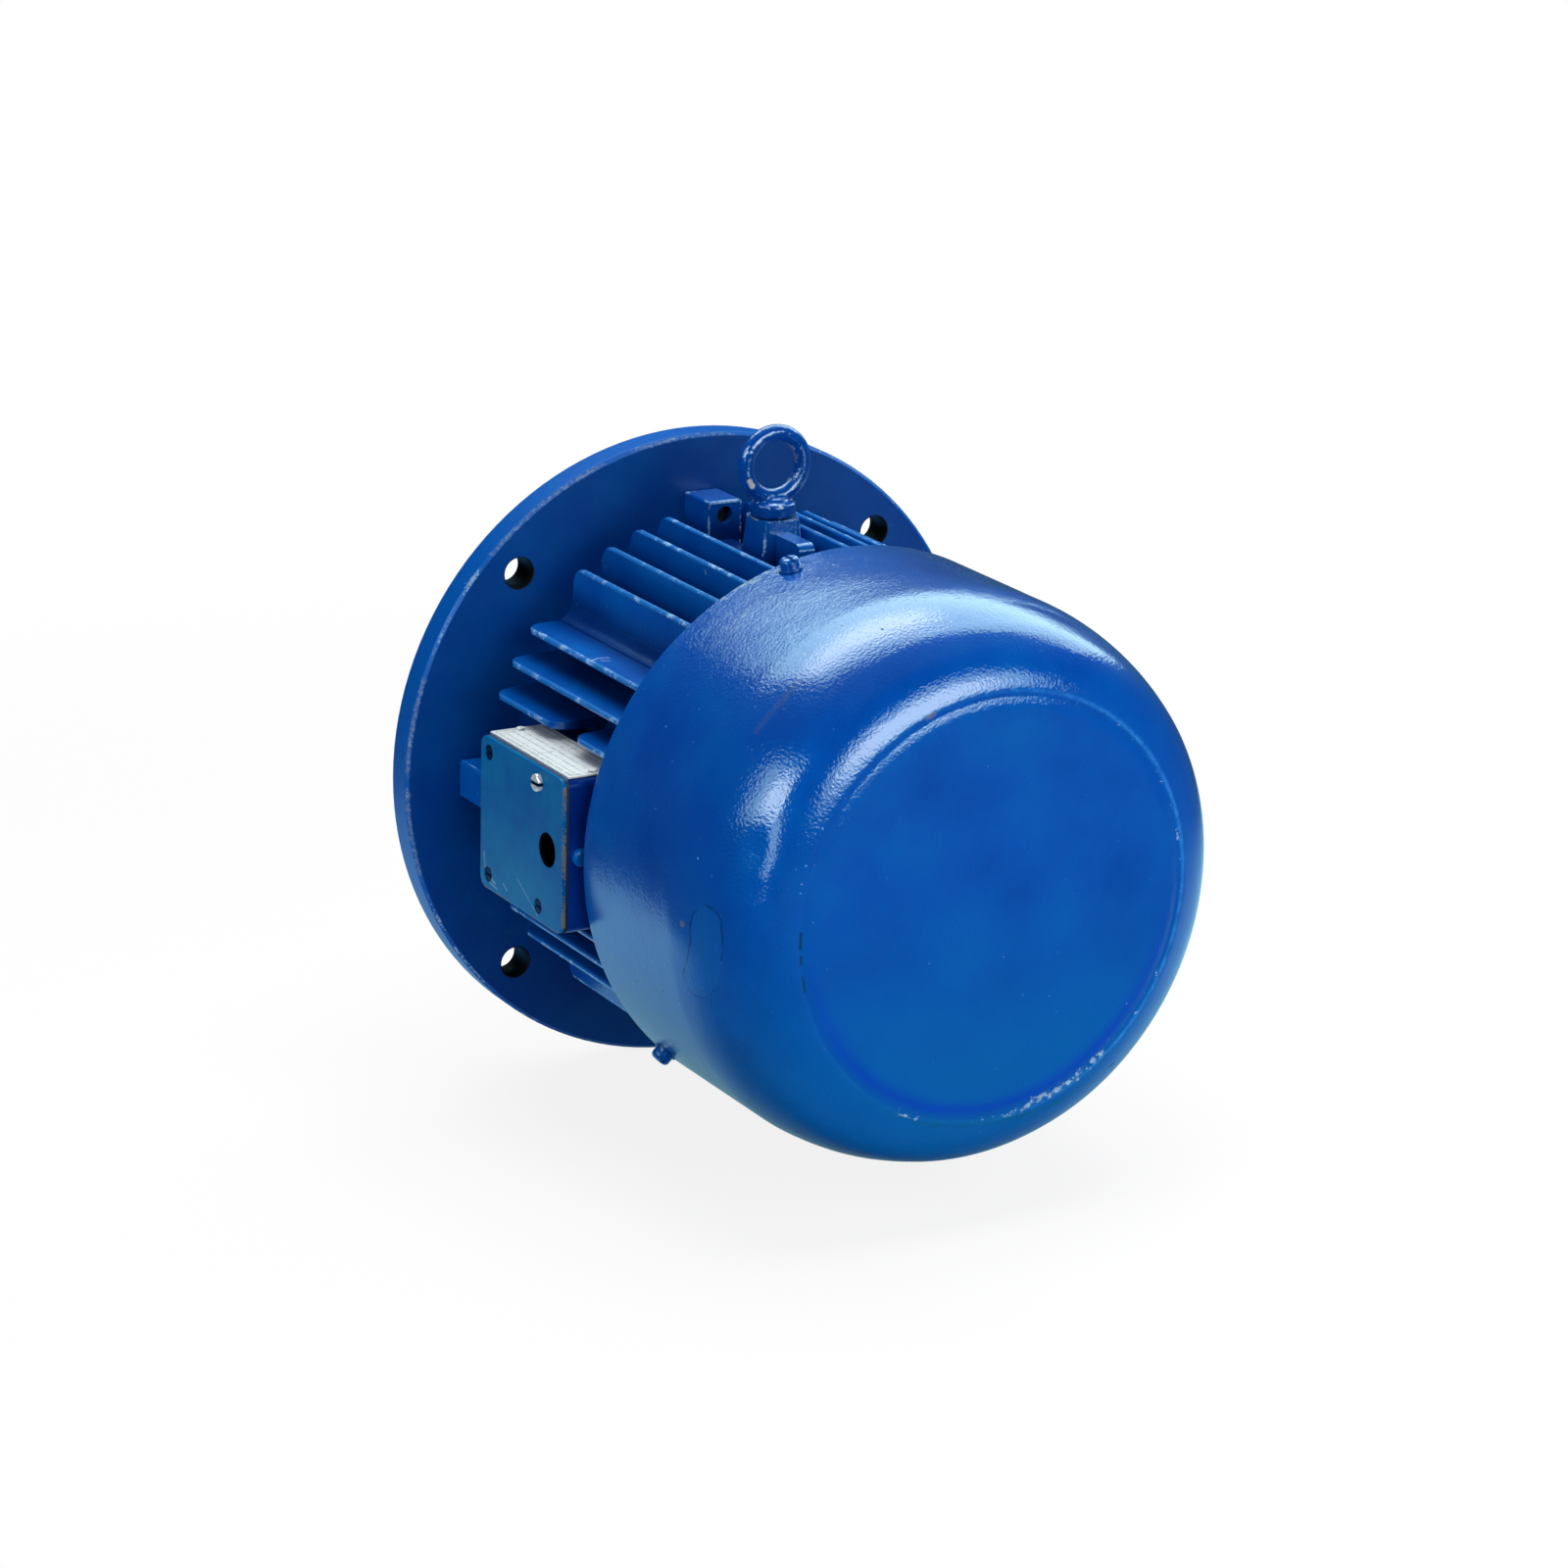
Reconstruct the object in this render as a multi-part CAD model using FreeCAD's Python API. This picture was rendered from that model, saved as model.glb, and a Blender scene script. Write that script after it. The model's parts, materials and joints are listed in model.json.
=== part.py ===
import FreeCAD, Part
import math
import os

# Flange-mounted hoist motor: finned cast housing, flange end shield with drive shaft,
# terminal box on one side, lifting eye on top and a spring-applied disc brake under a closed rear hood.
# Millimetres. Origin: centre of the flange's mating face. +Y runs out along the drive shaft, +Z is up,
# the terminal box is on -X and the hood closes the motor at -Y.

# Clearances
seat_gap = 0.05          # between pieces that are bolted or pressed together
thread_gap = 0.05        # radial, between a screw and its tapped hole
running_gap = 0.05       # radial, between the turning shaft and the seal lip
lining_gap = 0.1         # each side of the brake disc with the brake applied
screw_clearance = 0.3    # radial, between a screw and the plain hole it passes through
over = 1.0               # how far each cutting shape runs past the face it cuts

# Flange end shield
flange_diameter = 300.0
flange_thickness = 16.0
flange_bolt_circle = 265.0
flange_hole_diameter = 14.5
flange_edge_chamfer = 1.6
spigot_diameter = 230.0
spigot_height = 4.0
spigot_land = 17.0       # width of the machined ring that centres the flange
dish_depth = 8.0         # hollow of the front face inside the spigot
dish_draft = 3.0
front_rib_count = 8
front_rib_thickness = 6.0
casting_round = 1.5      # softened edges of the castings' lugs
hub_wall = 11.0          # casting around each bearing
register_depth = 6.0     # ring of each shield that enters the housing bore
register_wall = 7.0

# Drive shaft and keys
shaft_end_diameter = 38.0
shaft_end_length = 80.0
shaft_end_chamfer = 2.0
core_seat_diameter = 48.0
brake_journal_diameter = 30.0
drive_key = dict(width=10.0, height=8.0, length=70.0, depth=5.0)
hub_key = dict(width=8.0, height=7.0, depth=4.0, end_gap=1.0)
journal_chamfer = 1.0
drive_key_inset = 5.0    # from the flange face to the near end of the key

# Deep-groove ball bearings, one at each end
bearing_bore = 40.0
bearing_outside = 80.0
bearing_width = 18.0
ball_diameter = 11.9
ball_count = 9
race_gap = 0.2           # between the balls and the two rings
race_land = 3.5          # height from the ball circle to each ring's shoulder
cage_thickness = 2.8
cage_width = 14.8
front_bearing_setback = 10.0   # from the flange face
seal_outside = 55.0
seal_width = 8.0
seal_setback = 1.0
seal_case = 2.0          # wall of the seal's pressed ring
seal_lip = 3.0           # height of its lip
preload_washer_thickness = 1.5
preload_washer_width = 4.5

# Housing casting
housing_length = 174.0
housing_bore = 175.0
barrel_diameter = 192.0
fin_tip_diameter = 244.0
fin_pitch = 14.4
fin_tip_thickness = 3.0
fin_root_thickness = 5.0
fins_each_side = 5       # fins to each side of a quadrant's centre line
fin_front_gap = 15.0     # from the flange's rear face to the fins
fin_rear_gap = 14.0      # from the fins to the housing's rear face
fin_corner_radius = 9.0
fin_root_fillet = 3.0    # hollow on both sides of each fin's foot
fin_toe_radius = 8.0     # hollow at the front end of each fin's foot
corner_fillet = 6.0
broken_fin = dict(front=59.0, gap=18.0)   # fin above the terminal box, from its front end
lug = dict(width=17.0, height=123.5, length=23.0, bolt_radius=116.7)
flange_bolt = dict(diameter=8.0, head=13.0, head_height=8.0, length=26.0)
counterbore_clearance = 0.5
boss_setback = 67.0      # from the flange's rear face to the lifting eye
boss_top_width = 19.0    # square column under the lifting eye
boss_base_width = 25.0
boss_edge_radius = 3.0
boss_height = 126.6      # above the shaft axis
boss_rib_height = 105.0      # low rib that joins the top lug to the boss
boss_rear_rib = dict(height=120.5, reach=31.5, round=4.0)   # short rib behind the boss
boss_rib_thickness = 8.0

# Lifting eye
eye = dict(ring_outside=37.0, ring_inside=22.0, collar=20.6, collar_height=7.0, collar_round=1.5,
           shank=8.0, shank_length=13.0)
eye_ring_height = 23.6   # from the collar's seat to the ring's centre
eye_neck_diameter = 12.5

# Stator and rotor
winding_space = 32.0     # from each end of the housing to the stator core
winding_overhang = 22.0
air_gap = 0.5
rotor_diameter = 110.0
stator_slots = 24
stator_slot = dict(width=8.0, depth=20.0)
slot_mouth = 2.5
slot_liner = 0.25
winding_back = 4.5       # from the winding ends to the housing bore
winding_round = 6.0
rotor_bars = 20
rotor_bar = dict(width=5.0, depth=14.0)
bar_cover = 3.0          # iron outside the rotor bars
end_ring_length = 12.0

# Rear end shield
rear_shield_thickness = 16.0
rear_shield_diameter = 208.0
rear_bolt_radius = 97.0
rear_bolt = dict(diameter=6.0, across_flats=10.0, head_height=4.0, length=30.0)
rear_shaft_hole = 42.0
rear_shoulder = 4.5         # wall behind the rear bearing
casting_draft = 2.0

# Spring-applied disc brake
brake_diameter = 180.0
friction_plate_thickness = 5.0
friction_bore = 60.0
brake_disc_thickness = 10.0
brake_disc_diameter = 152.0
armature_thickness = 8.0
armature_diameter = 164.0
brake_air_gap = 0.6
magnet_thickness = 33.0
magnet_bore = 56.0
coil = dict(inside=92.0, outside=132.0, depth=20.0)
coil_gap = 0.3
spring = dict(diameter=8.0, wire=1.4, depth=14.0)
spring_count = 6
spring_radius = 37.0
brake_bolt_radius = 84.0
brake_bolt_angles = (90.0, 210.0, 330.0)
brake_bolt = dict(diameter=6.0, across_flats=10.0, head_height=4.0)
brake_bolt_grip = 10.0      # thread held in the rear shield
spacer_diameter = 11.0
guide_gap = 0.7             # between the spacers and the armature's notches
brake_hub = dict(across_flats=46.0, length=16.5)
hub_setback = 2.0           # from the rear shield to the brake hub
hub_spline_gap = 0.1
circlip = dict(thickness=1.5, height=5.0, groove=1.0, mouth=5.0)
shaft_tail = 3.0            # shaft behind the circlip

# Rear hood
hood_diameter = 256.0
hood_wall = 1.6
hood_overlap = 42.0         # the hood's rim reaches this far over the housing
hood_head_room = 16.4       # from the brake magnet to the hood's end
hood_taper_radius = 110.0   # slow curve from the cylinder to the shoulder
hood_taper_angle = 21.0
hood_shoulder_radius = 34.0
hood_groove = dict(radius=95.0, width=3.2, depth=0.9)
hood_screw_angles = (105.0, 225.0, 345.0)
hood_screw = dict(diameter=6.0, head=9.0, head_height=4.6, length=16.0, slot=1.4)
hood_screw_inset = 9.5      # from the hood's rim
hood_washer = dict(diameter=11.0, thickness=0.8)
hood_post_diameter = 13.0

# Terminal box
box_front = 45.0            # from the flange's rear face
box_length = 80.0
box_width = 71.0
box_wall = 5.0
box_floor = 4.0
box_edge_radius = 4.0
pad_height = 103.0          # machined seat, from the shaft axis
gasket_thickness = 1.0
cover_height = 134.6        # outer face of the cover, from the shaft axis
cover_thickness = 2.0
cover_edge_radius = 5.0
cover_screw_insets = (7.7, 57.0)   # along the box from its front edge
cover_screw_edge = 6.9             # from the long edges
cover_screw = dict(diameter=4.0, head=8.0, head_height=2.4, length=12.0, slot=1.2)
sunk_screw = dict(diameter=4.0, head=7.0, head_height=1.5, length=12.0, slot=1.2, depth=0.2)
raised_screw_place = 3             # the one cover screw with a raised head, counted from the front
cover_boss_diameter = 9.0
cable_hole_diameter = 15.0
cable_hole_inset = 65.6
lead_port = dict(length=30.0, width=24.0)
floor_screw_insets = (11.0, 70.0)
floor_screw_half_span = 18.0
floor_screw = dict(diameter=4.0, head=7.0, head_height=2.6, length=12.0)
block_size = dict(length=40.0, width=46.0, height=10.0)
block_inset = 15.0
stud_rows = (10.0, 30.0)           # along the terminal block
stud_pitch = 16.0
stud = dict(diameter=5.0, height=13.0, sunk=6.0)
stud_nut = dict(across_flats=8.0, height=4.0)
link = dict(width=8.0, thickness=1.2)
barrier = dict(thickness=2.4, height=5.0)
earth_screw = dict(diameter=5.0, head=8.0, head_height=3.2, length=9.0)
earth_screw_drop = 8.5             # from the cover's outer face
nameplate = dict(length=76.0, width=27.0, thickness=0.8, edge=0.6)
plate_pin = dict(diameter=2.4, head=4.2, head_height=1.0, length=5.0, inset=3.2)

# Stations along the shaft, from the flange face backwards
flange_rear = -flange_thickness
housing_rear = flange_rear - housing_length
rear_shield_rear = housing_rear - rear_shield_thickness
core_front = flange_rear - winding_space
core_rear = housing_rear + winding_space
front_bearing_front = -front_bearing_setback
front_bearing_rear = front_bearing_front - bearing_width
rear_seat_end = rear_shield_rear + rear_shoulder
rear_bearing_rear = rear_seat_end + preload_washer_thickness
rear_bearing_front = rear_bearing_rear + bearing_width
friction_rear = rear_shield_rear - friction_plate_thickness
disc_front = friction_rear - lining_gap
disc_rear = disc_front - brake_disc_thickness
armature_front = disc_rear - lining_gap
armature_rear = armature_front - armature_thickness
magnet_front = armature_rear - brake_air_gap
magnet_rear = magnet_front - magnet_thickness
brake_hub_front = rear_shield_rear - hub_setback
brake_hub_rear = brake_hub_front - brake_hub["length"]
hood_rim = housing_rear + hood_overlap
hood_end = magnet_rear - hood_head_room - hood_wall
hood_screw_y = hood_rim - hood_screw_inset
fin_front = flange_rear - fin_front_gap
fin_rear = housing_rear + fin_rear_gap
boss_y = flange_rear - boss_setback
box_y_front = flange_rear - box_front
box_y_rear = box_y_front - box_length

# Radii that several pieces share
bore_radius = housing_bore / 2
barrel_radius = barrel_diameter / 2
fin_tip_radius = fin_tip_diameter / 2
hub_radius = bearing_outside / 2 + hub_wall
ball_circle = (bearing_bore + bearing_outside) / 4
rotor_radius = rotor_diameter / 2
stator_bore = rotor_radius + air_gap
hood_radius = hood_diameter / 2
hood_bore = hood_radius - hood_wall
corner_edge = fins_each_side * fin_pitch + fin_root_thickness / 2
box_floor_face = pad_height + gasket_thickness
box_rim_face = cover_height - cover_thickness - gasket_thickness
lug_angles = (0.0, 90.0, 180.0, 270.0)
diagonals = (45.0, 135.0, 225.0, 315.0)

vec = FreeCAD.Vector
axis = vec(0, 1, 0)
centre = vec(0, 0, 0)


# Shared shapes

def revolved(points):
    # solid of revolution about the shaft axis, from (radius, y) corners
    corners = [vec(r, y, 0) for r, y in points]
    face = Part.Face(Part.makePolygon(corners + corners[:1]))
    return face.revolve(centre, axis, 360)


def revolved_edges(edges):
    face = Part.Face(Part.Wire(edges))
    return face.revolve(centre, axis, 360)


def ring(inside, outside, y0, y1):
    # plain tube about the shaft axis, given by its radii and end stations
    return revolved([(inside, y0), (outside, y0), (outside, y1), (inside, y1)])


def block(x0, x1, y0, y1, z0, z1):
    low = vec(min(x0, x1), min(y0, y1), min(z0, z1))
    return Part.makeBox(abs(x1 - x0), abs(y1 - y0), abs(z1 - z0), low)


def rod(radius, start, end):
    # cylinder between two points
    along = end - start
    return Part.makeCylinder(radius, along.Length, start, along)


def hexagon(across_flats, start, end):
    # hexagonal prism between two points
    along = end - start
    radius = across_flats / math.sqrt(3)
    turn = FreeCAD.Rotation(vec(0, 0, 1), along)
    corners = []
    for k in range(6):
        angle = math.radians(60 * k)
        flat = vec(radius * math.cos(angle), radius * math.sin(angle), 0)
        corners.append(start + turn.multVec(flat))
    return Part.Face(Part.makePolygon(corners + corners[:1])).extrude(along)


def turned(shape, angle):
    # copy turned about the shaft from +X towards +Z
    copy = shape.copy()
    copy.rotate(centre, axis, -angle)
    return copy


def polar(radius, angle, y):
    return vec(radius * math.cos(math.radians(angle)), y, radius * math.sin(math.radians(angle)))


def fused(shapes):
    return shapes[0].multiFuse(shapes[1:]).removeSplitter()


def group(shapes):
    return Part.makeCompound(shapes)


def screw_slot(size, top, direction):
    # driver slot across a screw head, a third of the head deep, lying along the shaft
    half = size["head"] / 2 + over
    across = direction.cross(axis) * (size["slot"] / 2)
    corners = [top - axis * half - across, top + axis * half - across,
               top + axis * half + across, top - axis * half + across]
    mouth = Part.Face(Part.makePolygon(corners + corners[:1]))
    cut = mouth.extrude(direction * (over + size["head_height"] / 3))
    cut.translate(direction * (-size["head_height"] / 3))
    return cut


def headed_screw(size, seat, direction, washer=None):
    # round-headed screw, on a plain washer where one is given; the shank goes down from the seat
    foot = seat
    pieces = []
    if washer:
        foot = seat + direction * washer["thickness"]
        pieces.append(rod(washer["diameter"] / 2, seat, foot))
    top = foot + direction * size["head_height"]
    head = rod(size["head"] / 2, foot, top)
    edges = [e for e in head.Edges if (e.CenterOfMass - foot).dot(direction) > size["head_height"] * 0.9]
    head = head.makeFillet(size["head_height"] * 0.45, edges)
    if "slot" in size:
        head = head.cut(screw_slot(size, top, direction))
    pieces += [head, rod(size["diameter"] / 2, foot, seat - direction * size["length"])]
    return fused(pieces)


def countersunk(size, face, direction, gap=0.0):
    # cone under a flush screw head, widened by the gap
    narrow = size["diameter"] / 2 + gap
    wide = size["head"] / 2 + gap
    return Part.makeCone(wide, narrow, wide - narrow, face, direction * -1)


def hex_screw(size, seat, direction):
    head = hexagon(size["across_flats"], seat, seat + direction * size["head_height"])
    return fused([head, rod(size["diameter"] / 2, seat, seat - direction * size["length"])])


def rounded_key(width, height, length, y_mid, bottom):
    # key with round ends, lying along the shaft on its upper side
    half = length / 2 - width / 2
    middle = block(-width / 2, width / 2, y_mid - half, y_mid + half, bottom, bottom + height)
    ends = []
    for y in (y_mid - half, y_mid + half):
        ends.append(rod(width / 2, vec(0, y, bottom), vec(0, y, bottom + height)))
    return fused([middle] + ends)


# Flange end shield

def front_ribs(floor_radius, rim_radius):
    ribs = []
    for k in range(front_rib_count):
        angle = 360.0 * (k + 0.5) / front_rib_count
        bar = block(floor_radius, rim_radius, -dish_depth - over, -dish_draft,
                    -front_rib_thickness / 2, front_rib_thickness / 2)
        ribs.append(turned(bar, angle))
    return ribs


def make_flange_end_shield():
    rim = flange_diameter / 2
    spigot = spigot_diameter / 2
    land = spigot - spigot_land
    edge = flange_edge_chamfer
    seal_radius = seal_outside / 2
    seat = bearing_outside / 2
    hub_rear = front_bearing_rear - seat_gap
    body = revolved([
        (seal_radius, 0), (hub_radius - dish_draft, 0), (hub_radius, -dish_depth),
        (land - dish_draft, -dish_depth), (land, spigot_height), (spigot - edge / 2, spigot_height),
        (spigot, spigot_height - edge / 2), (spigot, 0), (rim - edge, 0), (rim, -edge),
        (rim, flange_rear + edge), (rim - edge, flange_rear),
        (bore_radius - seat_gap, flange_rear), (bore_radius - seat_gap, flange_rear - register_depth),
        (bore_radius - register_wall, flange_rear - register_depth),
        (bore_radius - register_wall, flange_rear),
        (hub_radius, flange_rear), (hub_radius, hub_rear), (seat, hub_rear),
        (seat, front_bearing_front), (seal_radius, front_bearing_front)])
    body = fused([body] + front_ribs(hub_radius - dish_draft, land))
    cuts = []
    for angle in diagonals:
        spot = polar(flange_bolt_circle / 2, angle, over)
        cuts.append(rod(flange_hole_diameter / 2, spot, spot - axis * (flange_thickness + 2 * over)))
    for angle in lug_angles:
        spot = polar(lug["bolt_radius"], angle, 0)
        head_radius = flange_bolt["head"] / 2 + counterbore_clearance
        sunk = flange_bolt["head_height"] + counterbore_clearance
        cuts.append(rod(head_radius, spot + axis * (spigot_height + over), spot - axis * sunk))
        shank = flange_bolt["diameter"] / 2 + screw_clearance
        cuts.append(rod(shank, spot, spot - axis * (flange_thickness + over)))
    return body.cut(cuts)


def make_flange_bolts():
    # socket-head screws sunk in the flange face, threaded into the housing lugs
    bolts = []
    under_head = -flange_bolt["head_height"] - counterbore_clearance
    for angle in lug_angles:
        seat = polar(lug["bolt_radius"], angle, under_head)
        top = seat + axis * flange_bolt["head_height"]
        head = rod(flange_bolt["head"] / 2, seat, top)
        shank = rod(flange_bolt["diameter"] / 2, seat, seat - axis * flange_bolt["length"])
        socket = hexagon(flange_bolt["diameter"] * 0.75, top - axis * flange_bolt["diameter"] / 2, top)
        bolts.append(fused([head, shank]).cut(socket))
    return group(bolts)


# Housing

def fin_foot(offset, side, half):
    # hollow fillet between one flank of a fin and the barrel, from the barrel up to the flank
    turn_x = offset + side * (half + fin_root_fillet)
    turn_z = math.sqrt((barrel_radius + fin_root_fillet) ** 2 - turn_x ** 2)
    share = barrel_radius / (barrel_radius + fin_root_fillet)
    low = vec(turn_x * share, 0, turn_z * share)
    high = vec(turn_x - side * fin_root_fillet, 0, turn_z)
    middle = vec(turn_x, 0, turn_z)
    inward = ((low + high) * 0.5 - middle).normalize()
    return low, middle + inward * fin_root_fillet, high


def fin(offset, y_front, y_rear, both_ends=False):
    # one upright fin: hollow feet, drafted sides, a round tip and a rounded front corner
    height = math.sqrt(fin_tip_radius ** 2 - offset ** 2)
    foot = math.sqrt(bore_radius ** 2 - offset ** 2)
    half_root = fin_root_thickness / 2
    half_tip = fin_tip_thickness / 2
    shoulder = height - half_tip
    left = vec(offset - half_root, 0, foot)
    right = vec(offset + half_root, 0, foot)
    right_top = vec(offset + half_tip, 0, shoulder)
    left_top = vec(offset - half_tip, 0, shoulder)
    edges = [Part.makeLine(left, right)]
    # a flank that faces a solid corner has no hollow
    reach = fin_pitch * fins_each_side
    if offset < reach:
        low, bend, high = fin_foot(offset, 1, half_root)
        edges += [Part.makeLine(right, low), Part.Arc(low, bend, high).toShape(), Part.makeLine(high, right_top)]
    else:
        edges.append(Part.makeLine(right, right_top))
    edges.append(Part.Arc(right_top, vec(offset, 0, height), left_top).toShape())
    if offset > -reach:
        low, bend, high = fin_foot(offset, -1, half_root)
        edges += [Part.makeLine(left_top, high), Part.Arc(high, bend, low).toShape(), Part.makeLine(low, left)]
    else:
        edges.append(Part.makeLine(left_top, left))
    front = y_front + fin_toe_radius
    section = Part.Face(Part.Wire(edges))
    section.translate(axis * y_rear)
    bar = section.extrude(axis * (front - y_rear))
    return bar.common(fin_side(offset, foot, height, y_front, y_rear, both_ends))


def fin_side(offset, foot, height, y_front, y_rear, both_ends):
    # side outline of a fin, as wide as its hollow feet
    half_width = fin_root_thickness + fin_root_fillet
    x = offset - half_width
    r = fin_corner_radius
    s = r * (1 - math.sqrt(0.5))
    toe = fin_toe_radius
    t = toe * (1 - math.sqrt(0.5))
    base = math.sqrt(barrel_radius ** 2 - offset ** 2)
    low_front = vec(x, y_front + toe, foot)
    low_rear = vec(x, y_rear, foot)
    hollow = [vec(x, y_front + toe, base), vec(x, y_front + t, base + t), vec(x, y_front, base + toe)]
    corner = [vec(x, y_front, height - r), vec(x, y_front - s, height - s), vec(x, y_front - r, height)]
    edges = [Part.makeLine(low_rear, low_front), Part.makeLine(low_front, hollow[0]), Part.Arc(*hollow).toShape(),
             Part.makeLine(hollow[2], corner[0]), Part.Arc(*corner).toShape()]
    if both_ends:
        rear = [vec(x, y_rear + r, height), vec(x, y_rear + s, height - s), vec(x, y_rear, height - r)]
        edges += [Part.makeLine(corner[2], rear[0]), Part.Arc(*rear).toShape(),
                  Part.makeLine(rear[2], low_rear)]
    else:
        top_rear = vec(x, y_rear, height)
        edges += [Part.makeLine(corner[2], top_rear), Part.makeLine(top_rear, low_rear)]
    return Part.Face(Part.Wire(edges)).extrude(vec(2 * half_width, 0, 0))


def fin_group(turn, places):
    # the parallel fins of one quadrant, built upright and turned into place
    return [turned(fin(k * fin_pitch, fin_front, fin_rear), turn) for k in places]


def all_fins():
    every = range(-fins_each_side, fins_each_side + 1)
    # the boss and its rib take two places on top, the terminal box takes the middle of its side
    beside_box = math.ceil((box_width / 2 + fin_root_thickness) / fin_pitch)
    fins = fin_group(0, [k for k in every if k not in (-1, 0)])
    fins += fin_group(-90, every)
    fins += fin_group(180, every)
    fins += fin_group(90, [k for k in every if abs(k) >= beside_box and k != beside_box])
    # the fin just above the box is broken by a gap
    gap_front = fin_front - broken_fin["front"]
    gap_rear = gap_front - broken_fin["gap"]
    offset = beside_box * fin_pitch
    fins.append(turned(fin(offset, fin_front, gap_front, True), 90))
    fins.append(turned(fin(offset, gap_rear, fin_rear), 90))
    return fins


def corner_web(angle):
    # solid corner where the outer fins of two quadrants meet, with a hollow fillet outside
    inner = bore_radius * math.sqrt(0.5)
    web = block(inner, corner_edge, fin_front, housing_rear, inner, corner_edge)
    reach = corner_edge + corner_fillet
    fill = block(corner_edge - over, reach, fin_front, fin_rear, corner_edge - over, reach)
    hollow = rod(corner_fillet, vec(reach, fin_front + over, reach), vec(reach, fin_rear - over, reach))
    return turned(web.fuse(fill.cut(hollow)), angle - 45)


def lug_block(angle):
    half = lug["width"] / 2
    body = block(bore_radius, lug["height"], flange_rear, flange_rear - lug["length"], -half, half)
    outer = [e for e in body.Edges if e.CenterOfMass.x > lug["height"] - 0.1]
    return turned(body.makeFillet(casting_round, outer), angle)


def hood_post(angle):
    return rod(hood_post_diameter / 2, polar(bore_radius, angle, hood_screw_y),
               polar(hood_radius, angle, hood_screw_y))


def rounded_square(half, z):
    corners = [vec(-half, boss_y - half, z), vec(half, boss_y - half, z), vec(half, boss_y + half, z),
               vec(-half, boss_y + half, z)]
    outline = Part.Face(Part.makePolygon(corners + corners[:1])).extrude(vec(0, 0, 1))
    upright = [e for e in outline.Edges if abs(e.tangentAt(e.FirstParameter).z) > 0.9]
    body = outline.makeFillet(boss_edge_radius, upright)
    return [face for face in body.Faces if abs(face.CenterOfMass.z - z) < 0.01][0].OuterWire


def eye_boss():
    # drafted square column with round corners
    return Part.makeLoft([rounded_square(boss_base_width / 2, bore_radius),
                          rounded_square(boss_top_width / 2, boss_height)], True)


def top_ribs():
    # low rib from the top lug to the boss, and a short one behind it with a round rear corner
    half = boss_rib_thickness / 2
    front = block(-half, half, flange_rear - lug["length"], boss_y, bore_radius, boss_rib_height)
    rear_end = boss_y - boss_rear_rib["reach"]
    rear = block(-half, half, boss_y, rear_end, bore_radius, boss_rear_rib["height"])
    corner = [e for e in rear.Edges if abs(e.CenterOfMass.y - rear_end) < 0.1
              and abs(e.CenterOfMass.z - boss_rear_rib["height"]) < 0.1]
    return [front, rear.makeFillet(boss_rear_rib["round"], corner)]


def make_motor_housing():
    barrel = ring(bore_radius - over, barrel_radius, flange_rear, housing_rear)
    pad = block(-pad_height, -bore_radius, box_y_front, box_y_rear, -box_width / 2, box_width / 2)
    pieces = [barrel, pad, eye_boss()] + top_ribs()
    pieces += all_fins()
    pieces += [corner_web(angle) for angle in diagonals]
    pieces += [lug_block(angle) for angle in lug_angles]
    posts = [hood_post(angle) for angle in hood_screw_angles]
    inside_hood = rod(hood_bore - seat_gap, axis * housing_rear, centre)
    pieces += [post.common(inside_hood) for post in posts]
    body = fused(pieces)
    cuts = [rod(bore_radius, axis * (housing_rear - over), axis * (flange_rear + over))]
    for angle in lug_angles:
        spot = polar(lug["bolt_radius"], angle, flange_rear + over)
        cuts.append(rod(flange_bolt["diameter"] / 2 + thread_gap, spot, spot - axis * (lug["length"] + 2 * over)))
    for angle in diagonals:
        spot = polar(rear_bolt_radius, angle, housing_rear - over)
        cuts.append(rod(rear_bolt["diameter"] / 2 + thread_gap, spot, spot + axis * rear_bolt["length"]))
    for angle in hood_screw_angles:
        radius = hood_screw["diameter"] / 2 + thread_gap
        cuts.append(rod(radius, polar(hood_bore - hood_screw["length"] - over, angle, hood_screw_y),
                        polar(hood_radius, angle, hood_screw_y)))
    eye_hole = vec(0, boss_y, boss_height - eye["shank_length"] - over)
    cuts.append(rod(eye["shank"] / 2 + thread_gap, eye_hole, vec(0, boss_y, boss_height + over)))
    cuts.append(lead_port_cut(pad_height + over, bore_radius - 2 * over))
    for y, z in floor_screw_places():
        start = vec(-box_floor_face - box_floor, y, z)
        end = start + vec(floor_screw["length"] + over, 0, 0)
        cuts.append(rod(floor_screw["diameter"] / 2 + thread_gap, start, end))
    return body.cut(cuts)


# Lifting eye

def make_eyebolt():
    seat = vec(0, boss_y, boss_height + seat_gap)
    up = vec(0, 0, 1)
    section = (eye["ring_outside"] - eye["ring_inside"]) / 4
    middle = (eye["ring_outside"] + eye["ring_inside"]) / 4
    hub = seat + up * eye_ring_height
    loop = Part.makeTorus(middle, section, hub, axis)
    collar = rod(eye["collar"] / 2, seat, seat + up * eye["collar_height"])
    upper = seat.z + eye["collar_height"] / 2
    collar = collar.makeFillet(eye["collar_round"], [e for e in collar.Edges if e.CenterOfMass.z > upper + 1])
    neck_base = seat + up * (eye["collar_height"] - 1)
    neck_rise = eye_ring_height - middle - eye["collar_height"] + 1
    neck = Part.makeCone(eye["collar"] / 2 - 2, eye_neck_diameter / 2, neck_rise, neck_base, up)
    shank = rod(eye["shank"] / 2, seat, seat - up * eye["shank_length"])
    return fused([loop, neck, collar, shank])


# Stator

def slot_bar(width, inner, outer, y0, y1, count):
    bar = block(inner, outer, y0, y1, -width / 2, width / 2)
    return [turned(bar, 360.0 * k / count) for k in range(count)]


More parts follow.
